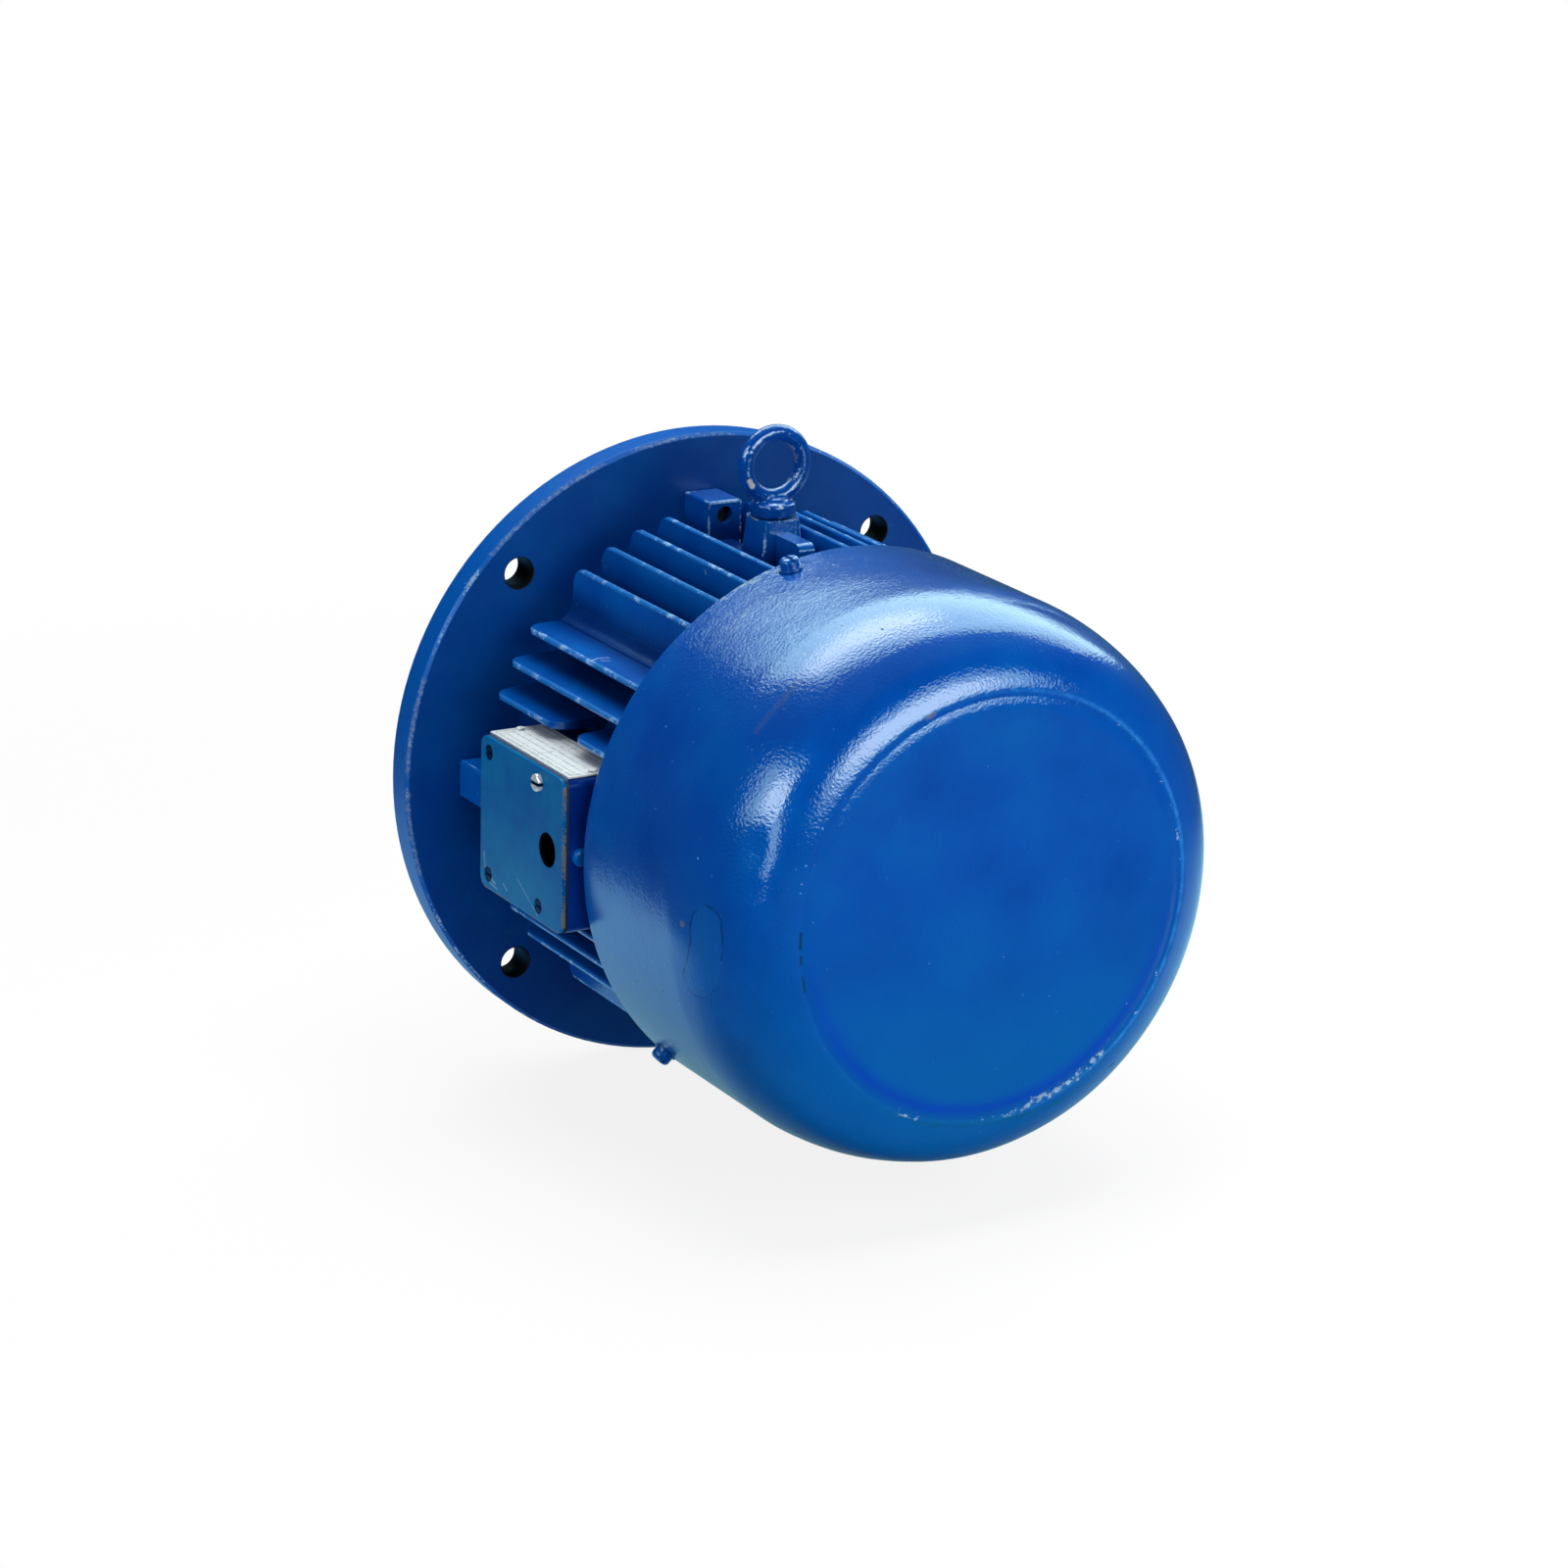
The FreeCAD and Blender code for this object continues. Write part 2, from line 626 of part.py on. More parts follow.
def make_stator_core():
    body = ring(stator_bore, bore_radius - seat_gap, core_front, core_rear)
    slots = slot_bar(stator_slot["width"], stator_bore + slot_mouth, stator_bore + stator_slot["depth"],
                     core_front + over, core_rear - over, stator_slots)
    mouths = slot_bar(slot_mouth, stator_bore - over, stator_bore + slot_mouth + over,
                      core_front + over, core_rear - over, stator_slots)
    return body.cut(slots + mouths)


def winding_end(face, outward):
    # rounded end turns of the coils outside the core
    inner = stator_bore + slot_mouth + slot_liner
    outer = bore_radius - winding_back
    near = face + outward * slot_liner
    far = face + outward * winding_overhang
    body = ring(inner, outer, near, far)
    edges = [e for e in body.Edges if abs(e.CenterOfMass.y - far) < 0.1]
    return body.makeFillet(winding_round, edges)


def make_stator_windings():
    sides = slot_bar(stator_slot["width"] - 2 * slot_liner, stator_bore + slot_mouth + slot_liner,
                     stator_bore + stator_slot["depth"] - slot_liner,
                     core_front + over, core_rear - over, stator_slots)
    return fused([winding_end(core_front, 1), winding_end(core_rear, -1)] + sides)


# Rotor

def make_rotor_shaft():
    end = shaft_end_diameter / 2
    seat = bearing_bore / 2
    core = core_seat_diameter / 2
    journal = brake_journal_diameter / 2
    clip_front = brake_hub_rear - seat_gap
    clip_rear = clip_front - circlip["thickness"] - 2 * seat_gap
    groove = journal - circlip["groove"]
    tail = clip_rear - shaft_tail
    shaft = revolved([
        (0, shaft_end_length), (end - shaft_end_chamfer, shaft_end_length),
        (end, shaft_end_length - shaft_end_chamfer),
        (end, 0), (seat, 0), (seat, front_bearing_rear), (core, front_bearing_rear),
        (core, rear_bearing_front), (seat, rear_bearing_front), (seat, rear_bearing_rear),
        (journal, rear_bearing_rear), (journal, clip_front), (groove, clip_front), (groove, clip_rear),
        (journal, clip_rear), (journal, tail + journal_chamfer), (journal - journal_chamfer, tail),
        (0, tail)])
    slots = [drive_key_shape(seat_gap), hub_key_shape(seat_gap)]
    return shaft.cut(slots)


def drive_key_shape(gap=0.0):
    bottom = shaft_end_diameter / 2 - drive_key["depth"]
    middle = drive_key_inset + drive_key["length"] / 2
    return rounded_key(drive_key["width"] + 2 * gap, drive_key["height"] + gap, drive_key["length"] + 2 * gap,
                       middle, bottom - gap)


def hub_key_shape(gap=0.0):
    bottom = brake_journal_diameter / 2 - hub_key["depth"]
    length = brake_hub["length"] - 2 * hub_key["end_gap"]
    middle = (brake_hub_front + brake_hub_rear) / 2
    return rounded_key(hub_key["width"] + 2 * gap, hub_key["height"] + 2 * gap, length + 2 * gap,
                       middle, bottom - gap)


def bar_span():
    outer = rotor_radius - bar_cover
    return outer - rotor_bar["depth"], outer


def make_rotor_core():
    inner, outer = bar_span()
    body = ring(core_seat_diameter / 2 + seat_gap, rotor_radius, core_front, core_rear)
    slots = slot_bar(rotor_bar["width"], inner, outer, core_front + over, core_rear - over, rotor_bars)
    return body.cut(slots)


def make_rotor_cage():
    inner, outer = bar_span()
    gap = seat_gap
    bars = slot_bar(rotor_bar["width"] - 2 * gap, inner + gap, outer - gap,
                    core_front + over, core_rear - over, rotor_bars)
    rings = [ring(inner, outer, core_front + gap, core_front + end_ring_length),
             ring(inner, outer, core_rear - gap, core_rear - end_ring_length)]
    return fused(rings + bars)


# Bearings

def race_groove(y_mid):
    return Part.makeTorus(ball_circle, ball_diameter / 2 + race_gap, vec(0, y_mid, 0), axis)


def make_outer_ring(y_mid):
    half = bearing_width / 2
    body = ring(ball_circle + race_land, bearing_outside / 2 - seat_gap, y_mid - half, y_mid + half)
    return body.cut(race_groove(y_mid))


def make_inner_ring(y_mid):
    half = bearing_width / 2 - seat_gap
    body = ring(bearing_bore / 2 + seat_gap, ball_circle - race_land, y_mid - half, y_mid + half)
    return body.cut(race_groove(y_mid))


def ball_places(y_mid):
    return [polar(ball_circle, 360.0 * k / ball_count, y_mid) for k in range(ball_count)]


def make_balls(y_mid):
    return group([Part.makeSphere(ball_diameter / 2, spot, axis) for spot in ball_places(y_mid)])


def make_cage(y_mid):
    # flat ring with one round pocket for each ball
    half = cage_width / 2
    wall = cage_thickness / 2
    body = ring(ball_circle - wall, ball_circle + wall, y_mid - half, y_mid + half)
    pockets = []
    for spot in ball_places(y_mid):
        outward = vec(spot.x, 0, spot.z).normalize()
        reach = outward * cage_thickness
        pockets.append(rod(ball_diameter / 2 + race_gap, spot - reach, spot + reach))
    return body.cut(pockets)


def make_shaft_seal():
    # pressed ring with a thinner lip that runs on the shaft
    lip = bearing_bore / 2 + running_gap
    outer = seal_outside / 2 - seat_gap
    front = -seal_setback
    rear = front - seal_width
    web = lip + seal_lip
    hollow = front - seal_case
    return revolved([
        (lip, front - seal_lip), (lip + seal_lip * 0.4, front - seal_lip / 2), (web, front), (outer, front),
        (outer, rear), (outer - seal_case, rear), (outer - seal_case, hollow), (web + seal_lip / 3, hollow),
        (lip + seal_lip / 2, rear + seal_case), (lip, rear + seal_case * 1.25)])


def make_preload_washer():
    outer = bearing_outside / 2 - 4 * seat_gap
    return ring(outer - preload_washer_width, outer, rear_seat_end + seat_gap, rear_bearing_rear - seat_gap)


# Rear end shield

def make_rear_end_shield():
    outer = rear_shield_diameter / 2
    register = bore_radius - seat_gap
    seat = bearing_outside / 2
    hole = rear_shaft_hole / 2
    hub_front = rear_bearing_front + seat_gap
    face = housing_rear - seat_gap
    body = revolved([
        (hole, rear_shield_rear), (outer - casting_draft, rear_shield_rear),
        (outer, rear_shield_rear + casting_draft), (outer, face),
        (register, face), (register, housing_rear + register_depth),
        (bore_radius - register_wall, housing_rear + register_depth),
        (bore_radius - register_wall - casting_draft, face), (hub_radius, face),
        (hub_radius - casting_draft, hub_front), (seat, hub_front), (seat, rear_seat_end),
        (hole, rear_seat_end)])
    cuts = []
    for angle in diagonals:
        spot = polar(rear_bolt_radius, angle, rear_shield_rear - over)
        depth = rear_shield_thickness + 2 * over
        cuts.append(rod(rear_bolt["diameter"] / 2 + screw_clearance, spot, spot + axis * depth))
    for angle in brake_bolt_angles:
        spot = polar(brake_bolt_radius, angle, rear_shield_rear - over)
        depth = brake_bolt_grip + 2 * over
        cuts.append(rod(brake_bolt["diameter"] / 2 + thread_gap, spot, spot + axis * depth))
    return body.cut(cuts)


def make_rear_shield_bolts():
    bolts = []
    for angle in diagonals:
        seat = polar(rear_bolt_radius, angle, rear_shield_rear - seat_gap)
        bolts.append(hex_screw(rear_bolt, seat, axis * -1))
    return group(bolts)


# Brake

def make_friction_plate():
    body = ring(friction_bore / 2, brake_diameter / 2, rear_shield_rear - seat_gap, friction_rear)
    return body.cut(brake_bolt_holes(screw_clearance))


def brake_bolt_holes(gap):
    holes = []
    for angle in brake_bolt_angles:
        start = polar(brake_bolt_radius, angle, rear_shield_rear + over)
        end = polar(brake_bolt_radius, angle, magnet_rear - over)
        holes.append(rod(brake_bolt["diameter"] / 2 + gap, start, end))
    return holes


def make_brake_hub():
    front = axis * brake_hub_front
    rear = axis * brake_hub_rear
    body = hexagon(brake_hub["across_flats"], rear, front)
    bore = rod(brake_journal_diameter / 2 + seat_gap, rear - axis, front + axis)
    half = hub_key["width"] / 2 + seat_gap
    key_top = brake_journal_diameter / 2 - hub_key["depth"] + hub_key["height"] + seat_gap
    keyway = block(-half, half, brake_hub_rear - over, brake_hub_front + over, 0, key_top)
    return body.cut([bore, keyway])


def make_brake_disc():
    # lining disc that slides on the hub's six flats
    body = rod(brake_disc_diameter / 2, axis * disc_rear, axis * disc_front)
    flats = brake_hub["across_flats"] + 2 * hub_spline_gap
    opening = hexagon(flats, axis * (disc_rear - over), axis * (disc_front + over))
    return body.cut(opening)


def make_brake_armature():
    # pressure plate, notched round the spacers that guide it
    body = ring(friction_bore / 2, armature_diameter / 2, armature_front, armature_rear)
    notches = []
    for angle in brake_bolt_angles:
        start = polar(brake_bolt_radius, angle, armature_rear - over)
        end = polar(brake_bolt_radius, angle, armature_front + over)
        notches.append(rod(spacer_diameter / 2 + guide_gap, start, end))
    return body.cut(notches)


def spring_places():
    return [polar(spring_radius, 360.0 * (k + 0.5) / spring_count, 0) for k in range(spring_count)]


def make_brake_magnet():
    body = ring(magnet_bore / 2, brake_diameter / 2, magnet_front, magnet_rear)
    groove = ring(coil["inside"] / 2, coil["outside"] / 2, magnet_front + over, magnet_front - coil["depth"])
    cuts = [groove] + brake_bolt_holes(screw_clearance)
    for spot in spring_places():
        mouth = spot + axis * (magnet_front + over)
        depth = spring["depth"] + over
        cuts.append(rod(spring["diameter"] / 2 + screw_clearance, mouth, mouth - axis * depth))
    return body.cut(cuts)


def make_brake_coil():
    return ring(coil["inside"] / 2 + coil_gap, coil["outside"] / 2 - coil_gap, magnet_front - coil_gap,
                magnet_front - coil["depth"] + seat_gap)


def make_brake_springs():
    # each closed coil spring is drawn as the sleeve that its turns fill
    springs = []
    for spot in spring_places():
        foot = spot + axis * (magnet_front - spring["depth"] + seat_gap)
        top = spot + axis * (armature_rear - seat_gap)
        sleeve = rod(spring["diameter"] / 2, foot, top)
        springs.append(sleeve.cut(rod(spring["diameter"] / 2 - spring["wire"], foot - axis, top + axis)))
    return group(springs)


def make_brake_spacers():
    spacers = []
    for angle in brake_bolt_angles:
        front = polar(brake_bolt_radius, angle, friction_rear - seat_gap)
        rear = polar(brake_bolt_radius, angle, magnet_front + seat_gap)
        tube = rod(spacer_diameter / 2, rear, front)
        spacers.append(tube.cut(rod(brake_bolt["diameter"] / 2 + screw_clearance, rear - axis, front + axis)))
    return group(spacers)


def make_brake_bolts():
    bolts = []
    size = dict(brake_bolt, length=rear_shield_rear - magnet_rear + brake_bolt_grip)
    for angle in brake_bolt_angles:
        bolts.append(hex_screw(size, polar(brake_bolt_radius, angle, magnet_rear - seat_gap), axis * -1))
    return group(bolts)


def make_shaft_circlip():
    groove = brake_journal_diameter / 2 - circlip["groove"] + seat_gap
    front = brake_hub_rear - 2 * seat_gap
    body = ring(groove, groove + circlip["height"], front, front - circlip["thickness"])
    half = circlip["mouth"] / 2
    reach = groove + circlip["height"] + over
    opening = block(-half, half, front + over, front - circlip["thickness"] - over, -reach, 0)
    return body.cut(opening)


# Rear hood

def hood_half_profile(shrink):
    # the hood's skin, moved inwards by shrink: cylinder, slow taper, shoulder, flat end
    first = math.radians(hood_taper_angle)
    taper = hood_taper_radius
    shoulder = hood_shoulder_radius
    shoulder_y = hood_end + shoulder
    shoulder_r = hood_radius - taper + (taper - shoulder) * math.cos(first)
    taper_y = shoulder_y + (taper - shoulder) * math.sin(first)
    taper_r = hood_radius - taper

    def on_taper(angle):
        reach = taper - shrink
        return vec(taper_r + reach * math.cos(angle), taper_y - reach * math.sin(angle), 0)

    def on_shoulder(angle):
        reach = shoulder - shrink
        return vec(shoulder_r + reach * math.cos(angle), shoulder_y - reach * math.sin(angle), 0)

    quarter = math.pi / 2
    start = vec(hood_radius - shrink, hood_rim, 0)
    edges = [Part.makeLine(start, on_taper(0)),
             Part.Arc(on_taper(0), on_taper(first / 2), on_taper(first)).toShape(),
             Part.Arc(on_shoulder(first), on_shoulder((first + quarter) / 2), on_shoulder(quarter)).toShape()]
    return start, edges, on_shoulder(quarter)


def make_rear_hood():
    outer_start, outer, outer_end = hood_half_profile(0.0)
    inner_start, inner, inner_end = hood_half_profile(hood_wall)
    outer_axis = vec(0, outer_end.y, 0)
    inner_axis = vec(0, inner_end.y, 0)
    edges = outer + [Part.makeLine(outer_end, outer_axis), Part.makeLine(outer_axis, inner_axis),
                     Part.makeLine(inner_axis, inner_end)] + inner + [Part.makeLine(inner_start, outer_start)]
    shell = revolved_edges(Part.__sortEdges__(edges))
    reach = hood_groove["width"] / 2
    middle = hood_groove["radius"]
    bottom = hood_end + hood_groove["depth"]
    groove = revolved([(middle - reach, hood_end - over), (middle + reach, hood_end - over),
                       (middle + reach / 3, bottom), (middle - reach / 3, bottom)])
    cuts = [groove]
    for angle in hood_screw_angles:
        radius = hood_screw["diameter"] / 2 + screw_clearance
        start = polar(hood_bore - over, angle, hood_screw_y)
        cuts.append(rod(radius, start, polar(hood_radius + over, angle, hood_screw_y)))
    return shell.cut(cuts)


def make_hood_screws():
    screws = []
    for angle in hood_screw_angles:
        outward = polar(1, angle, 0)
        seat = polar(hood_radius + seat_gap, angle, hood_screw_y)
        screws.append(headed_screw(hood_screw, seat, outward, hood_washer))
    return group(screws)


# Terminal box

def floor_screw_places():
    places = []
    for inset in floor_screw_insets:
        for side in (-1, 1):
            places.append((box_y_front - inset, side * floor_screw_half_span))
    return places


def cover_screw_places():
    places = []
    for inset in cover_screw_insets:
        for side in (-1, 1):
            places.append((box_y_front - inset, side * (box_width / 2 - cover_screw_edge)))
    return places


def lead_port_cut(outer, inner):
    # opening for the winding leads, between the box and the stator space
    y_mid = box_y_front - box_length + lead_port["length"] / 2 + 2 * box_wall
    half = lead_port["length"] / 2
    return block(-outer, -inner, y_mid - half, y_mid + half, -lead_port["width"] / 2, lead_port["width"] / 2)


def box_outline(x0, x1, edge_radius=box_edge_radius):
    body = block(-x0, -x1, box_y_front, box_y_rear, -box_width / 2, box_width / 2)
    corners = [e for e in body.Edges if abs(e.tangentAt(e.FirstParameter).x) > 0.9]
    return body.makeFillet(edge_radius, corners)


def box_rim(x0, x1, hole_gap):
    # wall of the box with its screw bosses, between two heights
    inside = block(-x0 + over, -x1 - over, box_y_front - box_wall, box_y_rear + box_wall,
                   -box_width / 2 + box_wall, box_width / 2 - box_wall)
    wall = box_outline(x0, x1).cut(inside)
    bosses = []
    holes = []
    for y, z in cover_screw_places():
        bosses.append(rod(cover_boss_diameter / 2, vec(-x0, y, z), vec(-x1, y, z)))
        holes.append(rod(cover_screw["diameter"] / 2 + hole_gap, vec(-box_floor_face - box_floor, y, z),
                         vec(-x1 - over, y, z)))
    return fused([wall] + bosses).cut(holes)


def make_terminal_box():
    floor = box_outline(box_floor_face, box_floor_face + box_floor)
    wall = box_rim(box_floor_face, box_rim_face, thread_gap)
    body = fused([floor, wall])
    cuts = [lead_port_cut(cover_height, pad_height)]
    for y, z in floor_screw_places():
        cuts.append(rod(floor_screw["diameter"] / 2 + screw_clearance, vec(-pad_height, y, z),
                        vec(-box_floor_face - box_floor - over, y, z)))
    earth = earth_screw_seat()
    cuts.append(rod(earth_screw["diameter"] / 2 + thread_gap, earth - axis, earth + axis * (box_wall + over)))
    return body.cut(cuts)


def make_box_gasket():
    body = box_outline(pad_height, box_floor_face)
    cuts = [lead_port_cut(box_floor_face + over, pad_height - over)]
    for y, z in floor_screw_places():
        cuts.append(rod(floor_screw["diameter"] / 2 + screw_clearance, vec(-pad_height + over, y, z),
                        vec(-box_floor_face - over, y, z)))
    return body.cut(cuts)


def make_box_screws():
    screws = []
    for y, z in floor_screw_places():
        seat = vec(-box_floor_face - box_floor - seat_gap, y, z)
        screws.append(headed_screw(floor_screw, seat, vec(-1, 0, 0)))
    return group(screws)


def make_cover_gasket():
    return box_rim(box_rim_face, box_rim_face + gasket_thickness, screw_clearance)


def make_terminal_cover():
    outward = vec(-1, 0, 0)
    body = box_outline(cover_height - cover_thickness, cover_height, cover_edge_radius)
    cuts = []
    for k, (y, z) in enumerate(cover_screw_places()):
        face = vec(-cover_height, y, z)
        cuts.append(rod(cover_screw["diameter"] / 2 + screw_clearance, face + outward * over,
                        face - outward * (cover_thickness + over)))
        if k != raised_screw_place:
            cuts.append(countersunk(sunk_screw, face, outward, screw_clearance))
    mouth = vec(-cover_height - over, box_y_front - cable_hole_inset, 0)
    cuts.append(rod(cable_hole_diameter / 2, mouth, mouth + vec(cover_thickness + 2 * over, 0, 0)))
    return body.cut(cuts)


def make_cover_screws():
    # three flush slotted screws, and one with a raised head
    outward = vec(-1, 0, 0)
    screws = []
    for k, (y, z) in enumerate(cover_screw_places()):
        face = vec(-cover_height, y, z)
        if k == raised_screw_place:
            screws.append(headed_screw(cover_screw, face + outward * seat_gap, outward))
        else:
            top = face - outward * sunk_screw["depth"]
            shank = rod(sunk_screw["diameter"] / 2, top, top - outward * sunk_screw["length"])
            body = fused([countersunk(sunk_screw, top, outward), shank])
            screws.append(body.cut(screw_slot(sunk_screw, top, outward)))
    return group(screws)


def earth_screw_seat():
    return vec(-cover_height + earth_screw_drop, box_y_rear, 0)


def make_earth_screw():
    return headed_screw(earth_screw, earth_screw_seat() - axis * seat_gap, axis * -1)


def block_frame():
    # foot of the terminal block on the box floor, and its near edge along the shaft
    return box_floor_face + box_floor + seat_gap, box_y_front - block_inset


def stud_places():
    front = block_frame()[1]
    places = []
    for row in stud_rows:
        for k in (-1, 0, 1):
            places.append((front - row, k * stud_pitch))
    return places


def make_terminal_block():
    # moulded board with barriers between the three phases
    foot, front = block_frame()
    top = foot + block_size["height"]
    half = block_size["width"] / 2
    body = block(-foot, -top, front, front - block_size["length"], -half, half)
    barriers = []
    for side in (-0.5, 0.5):
        z = side * stud_pitch
        barriers.append(block(-top + over, -top - barrier["height"], front, front - block_size["length"],
                              z - barrier["thickness"] / 2, z + barrier["thickness"] / 2))
    holes = []
    for y, z in stud_places():
        start = vec(-top + stud["sunk"], y, z)
        holes.append(rod(stud["diameter"] / 2 + seat_gap, start, vec(-top - over, y, z)))
    return fused([body] + barriers).cut(holes)


def make_terminal_studs():
    foot, front = block_frame()
    top = foot + block_size["height"]
    studs = []
    for y, z in stud_places():
        foot_end = vec(-top + stud["sunk"] - seat_gap, y, z)
        pin = rod(stud["diameter"] / 2, foot_end, vec(-top - stud["height"], y, z))
        nut_seat = -top - link["thickness"] - 2 * seat_gap
        nut = hexagon(stud_nut["across_flats"], vec(nut_seat, y, z), vec(nut_seat - stud_nut["height"], y, z))
        studs.append(fused([pin, nut]))
    return group(studs)


def make_terminal_links():
    foot, front = block_frame()
    seat = -foot - block_size["height"] - seat_gap
    reach = link["width"] / 2
    links = []
    for k in (-1, 0, 1):
        z = k * stud_pitch
        bar = block(seat, seat - link["thickness"], front - stud_rows[0] + reach,
                    front - stud_rows[1] - reach, z - reach, z + reach)
        holes = []
        for row in stud_rows:
            y = front - row
            holes.append(rod(stud["diameter"] / 2 + seat_gap, vec(seat + over, y, z),
                             vec(seat - link["thickness"] - over, y, z)))
        links.append(bar.cut(holes))
    return group(links)


def plate_pin_places():
    x = -(cover_height - cover_thickness - gasket_thickness - nameplate["edge"]) + nameplate["width"] / 2
    y_mid = (box_y_front + box_y_rear) / 2
    reach = nameplate["length"] / 2 - plate_pin["inset"]
    return [(x, y_mid + reach), (x, y_mid - reach)]


def make_nameplate():
    # bare plate riveted on the upper wall of the box
    x0 = cover_height - cover_thickness - gasket_thickness - nameplate["edge"]
    y_mid = (box_y_front + box_y_rear) / 2
    half = nameplate["length"] / 2
    seat = box_width / 2 + seat_gap
    body = block(-x0, -x0 + nameplate["width"], y_mid - half, y_mid + half,
                 seat, seat + nameplate["thickness"])
    holes = []
    for x, y in plate_pin_places():
        holes.append(rod(plate_pin["diameter"] / 2 + seat_gap, vec(x, y, seat - over),
                         vec(x, y, seat + nameplate["thickness"] + over)))
    return body.cut(holes)


def make_nameplate_pins():
    pins = []
    for x, y in plate_pin_places():
        seat = vec(x, y, box_width / 2 + nameplate["thickness"] + 2 * seat_gap)
        pins.append(headed_screw(plate_pin, seat, vec(0, 0, 1)))
    return group(pins)


def pin_holes():
    holes = []
    for x, y in plate_pin_places():
        top = vec(x, y, box_width / 2 + over)
        holes.append(rod(plate_pin["diameter"] / 2 + seat_gap, top, top - vec(0, 0, plate_pin["length"] + over)))
    return holes


front_bearing_mid = (front_bearing_front + front_bearing_rear) / 2
rear_bearing_mid = (rear_bearing_front + rear_bearing_rear) / 2

nodes = {
    "flange_end_shield": make_flange_end_shield(),
    "flange_bolts": make_flange_bolts(),
    "motor_housing": make_motor_housing(),
    "eyebolt": make_eyebolt(),
    "stator_core": make_stator_core(),
    "stator_windings": make_stator_windings(),
    "rotor_shaft": make_rotor_shaft(),
    "shaft_key": drive_key_shape(),
    "rotor_core": make_rotor_core(),
    "rotor_cage": make_rotor_cage(),
    "front_bearing_outer_ring": make_outer_ring(front_bearing_mid),
    "front_bearing_inner_ring": make_inner_ring(front_bearing_mid),
    "front_bearing_balls": make_balls(front_bearing_mid),
    "front_bearing_cage": make_cage(front_bearing_mid),
    "rear_bearing_outer_ring": make_outer_ring(rear_bearing_mid),
    "rear_bearing_inner_ring": make_inner_ring(rear_bearing_mid),
    "rear_bearing_balls": make_balls(rear_bearing_mid),
    "rear_bearing_cage": make_cage(rear_bearing_mid),
    "bearing_preload_washer": make_preload_washer(),
    "shaft_seal": make_shaft_seal(),
    "rear_end_shield": make_rear_end_shield(),
    "rear_shield_bolts": make_rear_shield_bolts(),
    "brake_friction_plate": make_friction_plate(),
    "brake_hub": make_brake_hub(),
    "brake_hub_key": hub_key_shape(),
    "brake_disc": make_brake_disc(),
    "brake_armature": make_brake_armature(),
    "brake_magnet": make_brake_magnet(),
    "brake_coil": make_brake_coil(),
    "brake_springs": make_brake_springs(),
    "brake_spacers": make_brake_spacers(),
    "brake_bolts": make_brake_bolts(),
    "shaft_circlip": make_shaft_circlip(),
    "rear_hood": make_rear_hood(),
    "hood_screws": make_hood_screws(),
    "terminal_box": make_terminal_box().cut(pin_holes()),
    "box_seat_gasket": make_box_gasket(),
    "box_fixing_screws": make_box_screws(),
    "cover_gasket": make_cover_gasket(),
    "terminal_cover": make_terminal_cover(),
    "terminal_cover_screws": make_cover_screws(),
    "earth_screw": make_earth_screw(),
    "terminal_block": make_terminal_block(),
    "terminal_studs": make_terminal_studs(),
    "terminal_links": make_terminal_links(),
    "nameplate": make_nameplate(),
    "nameplate_pins": make_nameplate_pins(),
}

os.makedirs("parts", exist_ok=True)
for name, shape in nodes.items():
    shape.exportStep("parts/" + name + ".step")
    state = "valid" if shape.isValid() else "not valid"
    print(name, len(shape.Solids), "solids", round(shape.Volume), "mm3", state)
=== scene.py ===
import bpy
import json
import math
import numpy as np
from mathutils import Matrix, Vector


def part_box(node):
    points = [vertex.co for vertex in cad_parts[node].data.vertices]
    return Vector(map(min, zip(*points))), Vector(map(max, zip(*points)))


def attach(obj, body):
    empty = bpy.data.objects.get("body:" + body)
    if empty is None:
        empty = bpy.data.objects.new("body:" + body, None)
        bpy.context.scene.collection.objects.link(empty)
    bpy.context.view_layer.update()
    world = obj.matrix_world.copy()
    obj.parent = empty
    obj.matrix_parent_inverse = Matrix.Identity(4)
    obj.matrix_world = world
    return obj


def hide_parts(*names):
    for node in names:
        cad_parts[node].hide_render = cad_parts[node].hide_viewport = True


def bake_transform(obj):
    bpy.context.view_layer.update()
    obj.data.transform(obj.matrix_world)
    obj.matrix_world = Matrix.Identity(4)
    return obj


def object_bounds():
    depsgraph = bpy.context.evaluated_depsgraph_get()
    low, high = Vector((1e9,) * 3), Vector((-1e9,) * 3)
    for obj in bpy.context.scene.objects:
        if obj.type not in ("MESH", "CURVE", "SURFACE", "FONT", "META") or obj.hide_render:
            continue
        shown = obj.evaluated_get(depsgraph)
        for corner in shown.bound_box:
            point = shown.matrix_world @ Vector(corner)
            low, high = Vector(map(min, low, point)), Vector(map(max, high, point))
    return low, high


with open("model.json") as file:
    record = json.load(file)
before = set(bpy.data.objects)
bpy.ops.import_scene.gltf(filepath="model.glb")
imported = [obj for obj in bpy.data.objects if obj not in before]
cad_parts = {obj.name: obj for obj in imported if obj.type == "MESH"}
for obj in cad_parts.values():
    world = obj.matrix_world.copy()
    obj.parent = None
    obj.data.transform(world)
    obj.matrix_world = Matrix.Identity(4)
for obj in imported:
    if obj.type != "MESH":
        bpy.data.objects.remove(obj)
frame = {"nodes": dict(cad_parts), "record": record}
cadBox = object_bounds()
nodes = frame["nodes"]
print("frame loaded:", len(nodes), "nodes")

mm = 0.001  # the scene is in metres, sizes below are in millimetres
noiseSpan = (0.3, 0.7)  # where nearly all values of a noise lie


